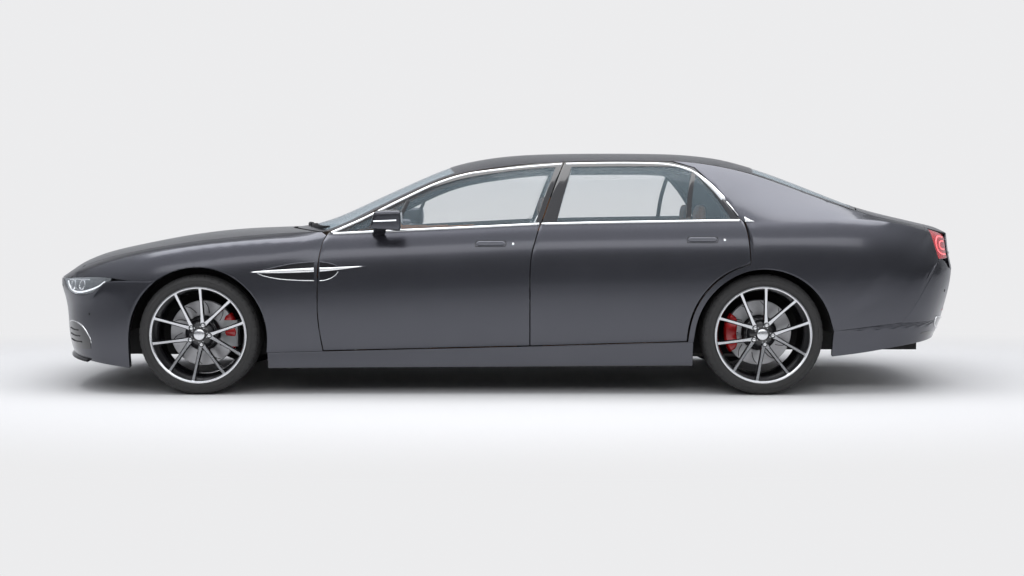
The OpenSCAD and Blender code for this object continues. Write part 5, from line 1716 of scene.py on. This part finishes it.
@dataclass(frozen=True)
class Upholstery:
    """Padded leather pieces: a remeshed block that cloth pressure fills between its sewn lines."""

    voxel: float = 0.010
    pressure: float = 4.0
    frames: int = 20
    cap: float = 0.014
    seam: float = 0.006

    def block(self, name: str, profile: Sequence[tuple[float, float]], y_low: float, y_high: float,
              crown: float) -> Piece:
        """Block over a width from a profile of station and height, narrower at its ends.

        Args:
            name: the piece's name.
            profile: loop of station and height.
            y_low: its right side.
            y_high: its left side.
            crown: how far its ends pull in.

        Returns:
            The block, with fine even faces.
        """
        ys = [y_low + (y_high - y_low) * t for t in (0.0, 0.06, 0.2, 0.4, 0.6, 0.8, 0.94, 1.0)]
        mid = (sum(p[0] for p in profile) / len(profile), sum(p[1] for p in profile) / len(profile))
        verts: list[Point] = []
        for y in ys:
            share = abs(2 * (y - y_low) / (y_high - y_low) - 1)
            pull = 1 - crown * share ** 6
            verts += [(mid[0] + (x - mid[0]) * pull, y, mid[1] + (z - mid[1]) * pull) for x, z in profile]
        obj = Bench.mesh(name, verts, hoops(len(ys), len(profile)))
        Bench.apply(obj, "REMESH", mode="VOXEL", voxel_size=self.voxel)
        Bench.apply(obj, "SMOOTH", factor=0.5, iterations=6)
        return obj

    def fill(self, obj: Piece, held: Callable[[Vector], bool]) -> None:
        """Fills the block by cloth pressure; held places, the seams and the underside, stay.

        Args:
            obj: the block.
            held: tells whether a place stays.
        """
        rest = [v.co.copy() for v in obj.data.vertices]
        group = obj.vertex_groups.new(name="seams")
        group.add([v.index for v in obj.data.vertices if held(v.co)], 1.0, "REPLACE")
        mod = obj.modifiers.new("fill", "CLOTH")
        mod.settings.use_pressure = True
        mod.settings.uniform_pressure_force = self.pressure
        mod.settings.vertex_group_mass = "seams"
        mod.settings.effector_weights.gravity = 0.0
        mod.settings.quality = 4
        mod.point_cache.frame_start, mod.point_cache.frame_end = 1, self.frames
        scene = bpy.context.scene
        for step in range(1, self.frames + 1):
            scene.frame_set(step)
        done = obj.evaluated_get(bpy.context.evaluated_depsgraph_get()).to_mesh()
        moved = [v.co.copy() for v in done.vertices]
        obj.modifiers.remove(mod)
        for vert, old, new in zip(obj.data.vertices, rest, moved):
            way = new - old
            vert.co = old + way * min(1.0, self.cap / max(way.length, 1e-6))
        scene.frame_set(1)
        obj.vertex_groups.clear()
        Bench.apply(obj, "SMOOTH", factor=0.5, iterations=2)

    def pad(self, name: str, profile: Sequence[tuple[float, float]], y_low: float, y_high: float,
            lines: Sequence[float], base: Callable[[Vector], bool], finish: Finish,
            crown: float = 0.10) -> Piece:
        """A finished padded piece on the body.

        Args:
            name: the piece's name.
            profile: loop of station and height.
            y_low: its right side.
            y_high: its left side.
            lines: sewn lines along the car, across its width.
            base: places that rest on something.
            finish: its finish.
            crown: how far its ends pull in.

        Returns:
            The piece.
        """
        obj = self.block(name, profile, y_low, y_high, crown)
        self.fill(obj, lambda p: base(p) or any(abs(p.y - y) < self.seam for y in lines))
        Bench.finish(obj, finish, "body", angle=80.0)
        return obj


@dataclass(frozen=True)
class Seats:
    """Front seats, rear bench and head restraints in tan leather."""

    front_y: float = 0.385
    front_w: float = 0.53
    cushion: Line = ((0.448, 0.262), (0.464, 0.350), (0.456, 0.438), (0.26, 0.424), (0.06, 0.406),
                     (-0.06, 0.40), (-0.115, 0.33), (-0.110, 0.262))
    back: Line = ((0.03, 0.432), (-0.026, 0.478), (-0.10, 0.70), (-0.186, 0.935), (-0.235, 0.952),
                  (-0.288, 0.935), (-0.205, 0.66), (-0.13, 0.43))
    rest: Line = ((-0.205, 0.985), (-0.213, 1.11), (-0.235, 1.124), (-0.278, 1.115), (-0.288, 0.99),
                  (-0.26, 0.972))
    bench: Line = ((-0.492, 0.24), (-0.468, 0.34), (-0.486, 0.440), (-0.68, 0.432), (-0.88, 0.412),
                   (-0.97, 0.42), (-0.99, 0.33), (-0.99, 0.24))
    bench_back: Line = ((-0.90, 0.43), (-0.968, 0.474), (-1.04, 0.69), (-1.118, 0.922), (-1.16, 0.936),
                        (-1.205, 0.922), (-1.14, 0.69), (-1.06, 0.50), (-1.01, 0.492), (-0.99, 0.44))
    bench_rest: Line = ((-1.135, 0.945), (-1.142, 1.062), (-1.16, 1.072), (-1.188, 1.064), (-1.192, 0.95))
    shop: Upholstery = Upholstery()

    def front(self) -> None:
        """Both front seats, the right one as the left one's twin."""
        low, high = self.front_y - self.front_w / 2 + 0.006, self.front_y + self.front_w / 2 - 0.006
        lines = [self.front_y + d for d in (-0.155, -0.078, 0.0, 0.078, 0.155)]
        cushion = self.shop.pad("front_cushion_left", self.cushion, low, high, lines,
                                lambda p: p.z < 0.30, LEATHER)
        back = self.shop.pad("front_back_left", self.back, low + 0.006, high - 0.006, lines,
                             lambda p: p.x < -0.145 - (p.z - 0.45) * 0.31, LEATHER)
        rest = self.shop.pad("front_headrest_left", self.rest, self.front_y - 0.125, self.front_y + 0.125,
                             [], lambda p: p.x < -0.26, LEATHER)
        for part in (cushion, back, rest):
            mirrored(part, "body")
            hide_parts("front_seats")
        bars = [Bench.mesh(f"bar_{k}", *lathe([(0.0001, 0.0), (0.006, 0.0), (0.006, 0.075),
            (0.0001, 0.075)], 20, lambda r, t, h, k=k: (-0.242 + r * math.cos(t) - 0.18 * h, self.front_y
            + (0.06 if k else -0.06) + r * math.sin(t), 0.918 + h))) for k in (0, 1)]
        mirrored(Bench.finish(Bench.join("headrest_bars_left", bars), CHROME, "body"), "body")
        rail = Bench.mesh("seat_base_left", *slab([[Vector((x, y, 0.262))
            for y in (low + 0.04, high - 0.04)] for x in (-0.08, 0.15, 0.42)],
            [[Vector((x, y, 0.2355)) for y in (low + 0.02, high - 0.02)] for x in (-0.10, 0.15, 0.44)]))
        mirrored(Bench.finish(rail, TRIM_BLACK, "body", bevel=0.004), "body")

    def rear(self) -> None:
        """Rear bench: a cushion and a back to each side and two head restraints."""
        low, high = 0.006, 0.612
        lines = [0.12 + 0.095 * k for k in range(5)]
        cushion = self.shop.pad("rear_cushion_left", self.bench, low, high, lines, lambda p: p.z < 0.27,
                                LEATHER)
        back = self.shop.pad("rear_back_left", self.bench_back, low, high, lines,
                             lambda p: p.x < -1.0 - max(0.0, p.z - 0.45) * 0.30, LEATHER)
        rest = self.shop.pad("rear_headrest_left", self.bench_rest, 0.23, 0.47, [],
                             lambda p: p.x < -1.17, LEATHER)
        for part in (cushion, back, rest):
            mirrored(part, "body")
            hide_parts("rear_seat")


@dataclass(frozen=True)
class Cabin:
    """Dashboard, screen, vents, wheel, console, carpet and the rest of the inside."""

    wheel_at: tuple[float, float, float] = (0.620, 0.385, 0.800)
    tilt: float = 22.0

    def plate(self, name: str, top: Sequence[Sequence[Point]], low: Sequence[Sequence[Point]],
              finish: Finish, body: str, bevel: float) -> Piece:
        """A plate between two grids of points with rounded edges."""
        grids = [[[Vector(p) for p in row] for row in grid] for grid in (top, low)]
        return Bench.finish(Bench.mesh(name, *slab(*grids)), finish, body, bevel=bevel, angle=30.0)

    def dashboard(self, shop: PanelShop) -> None:
        """Leather dashboard with a wood band, a wide screen and round vents.

        Args:
            shop: dresses the frame's nodes.
        """
        base = shop.dress("dashboard", "body", lambda m, n: 1 if n.z > 0.3 else 0, [LEATHER, DARK_LEATHER],
                          bevel=0.012, levels=0)
        face = Skin([base])
        inner = TrimShop(lambda y, z: face.ray((0.2, y, z), (1, 0, 0)))
        inner.patch("dash_wood", [(y, 0.745, 0.785) for y in (-0.62, -0.3, 0.0, 0.3, 0.62)],
                    0.006, 0.003, WOOD, "body", 6, 8)
        inner.strip("dash_bright_line", [(y / 10, 0.739) for y in range(-6, 7, 2)], [0.003], 0.009, CHROME,
                    "body")
        for y in (-0.56, -0.10, 0.10, 0.58):
            inner.knob(f"vent_ring_{int(y * 100)}", y, 0.69, [(0.034, -0.004), (0.034, 0.010),
                (0.030, 0.013), (0.026, 0.008), (0.026, -0.004)], CHROME, "body")
            inner.knob(f"vent_heart_{int(y * 100)}", y, 0.69, [(0.0001, 0.011), (0.006, 0.010),
                (0.008, 0.004), (0.025, 0.003), (0.025, -0.004), (0.0001, -0.004)], TRIM_BLACK, "body")
        rows = [[(0.842 + 0.02 * abs(y), y, z) for z in (0.800, 0.875)]
                for y in (-0.16, 0.0, 0.16, 0.32, 0.56)]
        self.plate("screen_frame", rows, [[(x + 0.022, y, z) for x, y, z in r] for r in rows], TRIM_BLACK,
                   "body", 0.006)
        glow = [[(x - 0.0022, y, 0.808 + (z - 0.8) * 0.79) for x, y, z in r] for r in rows]
        self.plate("screen_glass", glow, [[(x + 0.003, y, z) for x, y, z in r] for r in glow], SCREEN,
                   "body", 0.001)
        hood = [[(0.90 - 0.07 * k, y, 0.874 + 0.014 * (1 - ((y - 0.385) / 0.2) ** 2))
                 for y in (0.19, 0.29, 0.385, 0.48, 0.58)] for k in (0, 1)]
        self.plate("gauge_hood", hood, [[(x, y, z - 0.007) for x, y, z in r] for r in hood], DARK_LEATHER,
                   "body", 0.002)

    def wheel(self, shop: PanelShop) -> None:
        """Steering wheel in dark leather, with a pad and bright spokes.

        Args:
            shop: dresses the frame's nodes.
        """
        shop.dress("steering_wheel", "steering", plain, [DARK_LEATHER], bevel=0.003, levels=0)
        turn = Matrix.Translation(self.wheel_at) @ Matrix.Rotation(math.radians(-90 + self.tilt), 4,
            "Y") @ Matrix.Rotation(math.pi, 4, "Y")
        pad = Bench.mesh("wheel_pad", *lathe([(0.0001, -0.046), (0.03, -0.045), (0.055, -0.040),
            (0.066, -0.030), (0.066, -0.012), (0.062, -0.012), (0.0621, -0.0253), (0.0001, -0.0253)], 48,
            lambda r, t, h: turn @ Vector((r * math.cos(t), r * 1.05 * math.sin(t), h))))
        Bench.finish(pad, DARK_LEATHER, "steering", angle=50.0)
        ring = Bench.mesh("wheel_ring", *lathe([(0.030, -0.046), (0.030, -0.0485), (0.034, -0.0485),
            (0.034, -0.044)], 40, lambda r, t, h: turn @ Vector((r * math.cos(t), r * math.sin(t), h))))
        Bench.finish(ring, CHROME, "steering")
        for k, angle in enumerate((0, 180, 270)):
            spin = turn @ Matrix.Rotation(math.radians(angle), 4, "Z")
            rows = [[spin @ Vector((r, w * s, -0.0125)) for s in (-1, 0, 1)] for r,
                    w in ((0.070, 0.014), (0.11, 0.011), (0.150, 0.013))]
            self.plate(f"wheel_spoke_{k}", rows, [[p + (spin.to_3x3() @ Vector((0, 0, 0.003))) for p in r]
                for r in rows], CHROME, "steering", 0.001)

    def console(self, shop: PanelShop) -> None:
        """Console with a wood top, a selector, cup rings and an arm rest.

        Args:
            shop: dresses the frame's nodes.
        """
        base = shop.dress("centre_console", "body", plain, [DARK_LEATHER], bevel=0.014, levels=0)
        top = TrimShop(Skin([base]).top)
        top.patch("console_wood", [(x, -0.075, 0.075) for x in (0.82, 0.60, 0.40)], 0.003, 0.002, WOOD,
                  "body", 6, 6)
        for k, x in enumerate((0.56, 0.46)):
            top.knob(f"cup_ring_{k}", x, 0.0, [(0.042, 0.0), (0.042, 0.006), (0.039, 0.008), (0.036, 0.006),
                (0.036, 0.0)], CHROME, "body")
        top.knob("selector", 0.70, 0.0, [(0.0001, 0.070), (0.014, 0.068), (0.020, 0.058), (0.018, 0.040),
            (0.012, 0.030), (0.011, 0.008), (0.026, 0.004), (0.027, -0.002), (0.0001, -0.002)], CHROME,
                 "body")
        Upholstery(0.008).pad("arm_rest", [(0.34, 0.556), (0.345, 0.59), (0.10, 0.612), (-0.13, 0.625),
            (-0.14, 0.592)], -0.095, 0.095, [0.0], lambda p: p.z < 0.565 + 0.09 * max(0.0, 0.3 - p.x)
                              * 0.55, LEATHER)

    def build(self, shop: PanelShop) -> None:
        """Makes the cabin.

        Args:
            shop: dresses the frame's nodes.
        """
        shop.dress("floor_pan", "body", lambda m, n: 1 if -1.02 < m.x < 1.26 and m.z > 0.2
                   and (n.z > 0.5 or abs(n.x) > 0.5) else 0, [UNDERBODY, CARPET], bevel=0.003, levels=0)
        shop.dress("pillars", "body", plain, [TRIM_BLACK], bevel=0.003, levels=0)
        self.dashboard(shop)
        self.wheel(shop)
        self.console(shop)
        Seats().front()
        Seats().rear()


@dataclass(frozen=True)
class DoorCards:
    """Arm rest, pull handle, speaker and wood strip on the inside of each door."""

    doors: tuple[tuple[str, float, float], ...] = (("front", 0.86, 0.02), ("rear", -0.30, -1.06))

    def build(self, shell: BodyShell) -> None:
        """Makes the inside trim of all four doors.

        Args:
            shell: the dressed panels.
        """
        for place, ahead, behind in self.doors:
            body, mate = f"{place}_left_door", f"{place}_right_door"
            skin = Skin([shell.skins[f"door_{place}_left"]])
            shop = TrimShop(lambda x, z, skin=skin: skin.ray((x, 0.3, z), (0, 1, 0)))
            at = [ahead + (behind - ahead) * k / 6 for k in range(7)]
            pieces = [shop.strip(f"card_wood_{place}_left", [(x, 0.765) for x in at],
                [0.004, 0.016, 0.018, 0.016, 0.004], 0.005, WOOD, body),
                      shop.strip(f"card_line_{place}_left", [(x, 0.742) for x in at[1:-1]], [0.0025], 0.006,
                CHROME, body), shop.strip(f"card_arm_{place}_left", [(x, 0.63) for x in at[1:-1]],
                [0.012, 0.040, 0.044, 0.040, 0.012], 0.030, LEATHER, body),
                      shop.strip(f"card_pull_{place}_left", [(at[2], 0.70), (at[2] - 0.06, 0.706),
                (at[2] - 0.12, 0.70)], [0.004, 0.007, 0.004], 0.022, CHROME, body),
                      shop.knob(f"card_speaker_{place}_left", at[1] - 0.02, 0.44,
                                [(0.0001, 0.004), (0.04, 0.006), (0.062, 0.006), (0.068, 0.012),
                (0.074, 0.010), (0.076, -0.003), (0.0001, -0.003)], TRIM_BLACK, body),]
            for piece in pieces:
                mirrored(piece, mate)


@dataclass(frozen=True)
class Underbody:
    """Engine, axles, liners, exhaust, shields and tray."""

    plain_nodes: tuple[tuple[str, str, Finish, float], ...] = (("wheel_liners", "body", UNDERBODY, 0.001),
        ("front_axle", "body", IRON, 0.004), ("rear_axle", "body", IRON, 0.004),
        ("exhaust", "body", STEEL, 0.006), ("engine_block", "body", CAST, 0.012),
        ("knuckle_left", "left_knuckle", CAST, 0.003), ("knuckle_right", "right_knuckle", CAST, 0.003))
    arches: tuple[tuple[str, float, float, float, float, float],
                  ...] = (("front_arch_shield", 1.81, 2.46, 0.452, 0.186, 0.378),
                          ("door_arch_shield", 1.30, 1.66, 0.452, 0.186, 0.378),
                          ("rear_arch_shield", -2.44, -1.53, 0.492, 0.215, 0.350),
                          ("seat_arch_shield", -1.37, -1.05, 0.492, 0.190, 0.350))
    shield_t: float = 0.004

    def shields(self) -> None:
        """Dark plates inside the arches and a ribbed tray under the engine."""
        t = self.shield_t
        for name, x0, x1, y, z0, z1 in self.arches:
            xs = [x0 + (x1 - x0) * k / 8 for k in range(9)]
            outer = [[Vector((x, y + 0.004 * (k % 2), z)) for z in (z0, (z0 + z1) / 2, z1)] for k,
                     x in enumerate(xs)]
            plate = Bench.mesh(name + "_left", *slab(outer, [[p - Vector((0, t, 0)) for p in r]
                for r in outer]))
            mirrored(Bench.finish(plate, UNDERBODY, "body", bevel=0.001), "body")
        xs = [1.30, 1.45, 1.60, 1.75, 1.90, 2.05, 2.20, 2.35, 2.46]
        low = [[Vector((x, y, 0.184 - 0.004 * (k % 2) + 0.004 * (j % 2))) for j,
                y in enumerate((-0.45, -0.3, -0.15, 0.0, 0.15, 0.3, 0.45))] for k, x in enumerate(xs)]
        tray = Bench.mesh("engine_tray", *slab([[p + Vector((0, 0, t)) for p in r] for r in low], low))
        Bench.finish(tray, UNDERBODY, "body", bevel=0.001)

    def engine(self) -> None:
        """Cover with ribs over the engine block, and a filler cap."""
        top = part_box("engine_block")[1][2]
        rows = [(1.43, 0.20), (1.47, 0.26), (1.75, 0.275), (2.04, 0.265), (2.09, 0.20)]
        line = curve([(x, h, 0.0) for x, h in rows], 8)
        grid = [[Vector((p.x, p.y * s, top + 0.010 + 0.008 * (1 - abs(s) ** 3)
                         + (0.005 if abs(s) in (0.25, 0.5) else 0.0))) for s in (-1, -0.9, -0.56, -0.5,
            -0.44, -0.31, -0.25, -0.19, 0, 0.19, 0.25, 0.31, 0.44, 0.5, 0.56, 0.9, 1)] for p in line]
        Bench.finish(Bench.mesh("engine_cover", *slab(grid, [[Vector((p.x, p.y, top - 0.001)) for p in r]
            for r in grid])), TRIM_BLACK, "body", angle=35.0)
        for side in (1, -1):
            word = "left" if side > 0 else "right"
            path = curve([(2.30, 0.16 * side, 0.60), (2.24, 0.19 * side, 0.69), (2.14, 0.22 * side, 0.76),
                          (2.02, 0.20 * side, 0.7955), (1.95, 0.16 * side, 0.801)], 6)
            ring = [(0.034 * math.cos(t), 0.034 * math.sin(t)) for t in [2 * math.pi * k / 20
                for k in range(20)]]
            pipe = Bench.mesh(f"intake_pipe_{word}", *sweep(path, [UP] * len(path), [ring] * len(path)))
            Bench.finish(pipe, TRIM_BLACK, "body", angle=50.0)
            for k in range(6):
                x = 1.47 + 0.118 * k
                rib = [[Vector((x + dx, side * 0.3, z)) for z in (0.40, 0.55, 0.70)] for dx in (0.0, 0.02)]
                slab_rib = [[p + Vector((0, side * 0.014, 0)) for p in r] for r in rib]
                Bench.finish(Bench.mesh(f"block_rib_{k}_{word}", *(slab(slab_rib, rib) if side < 0
                    else slab(rib, slab_rib))), CAST, "body", bevel=0.003, angle=30.0)
        cap = TrimShop(lambda x, y: (Vector((x, y, top + 0.016)), UP))
        cap.knob("filler_cap", 2.0, 0.12, [(0.0001, 0.016), (0.018, 0.015), (0.024, 0.010), (0.024, -0.004),
            (0.0001, -0.004)], GLOSS_BLACK, "body")

    def build(self, shop: PanelShop) -> None:
        """Dresses the running gear and adds the plates.

        Args:
            shop: dresses the frame's nodes.
        """
        for node, body, finish, bevel in self.plain_nodes:
            shop.dress(node, body, plain, [finish], bevel=bevel, levels=0)
        self.shields()
        self.engine()


def main() -> None:
    """Builds the whole look, piece by piece, and logs what stands."""
    logging.basicConfig(level=logging.INFO, format="%(message)s")
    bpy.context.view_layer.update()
    Studio().build()
    shop = PanelShop()
    shell = BodyShell()
    shell.build(shop)
    SideTrim().build(shell)
    Mirrors().build()
    Lamps().build(shop)
    FrontEnd().build(shop, shell)
    RearEnd().build(shell)
    Wipers().build(shell)
    front = RoadWheel("front", 1.735, 0.795, 0.340, 0.245)
    rear = RoadWheel("rear", -1.455, 0.790, 0.342, 0.290)
    front.build("front_left_wheel", "front_right_wheel")
    rear.build("rear_left_wheel", "rear_right_wheel")
    Brakes().build(front, rear)
    Cabin().build(shop)
    DoorCards().build(shell)
    Underbody().build(shop)


if __name__ == "__main__":
    main()
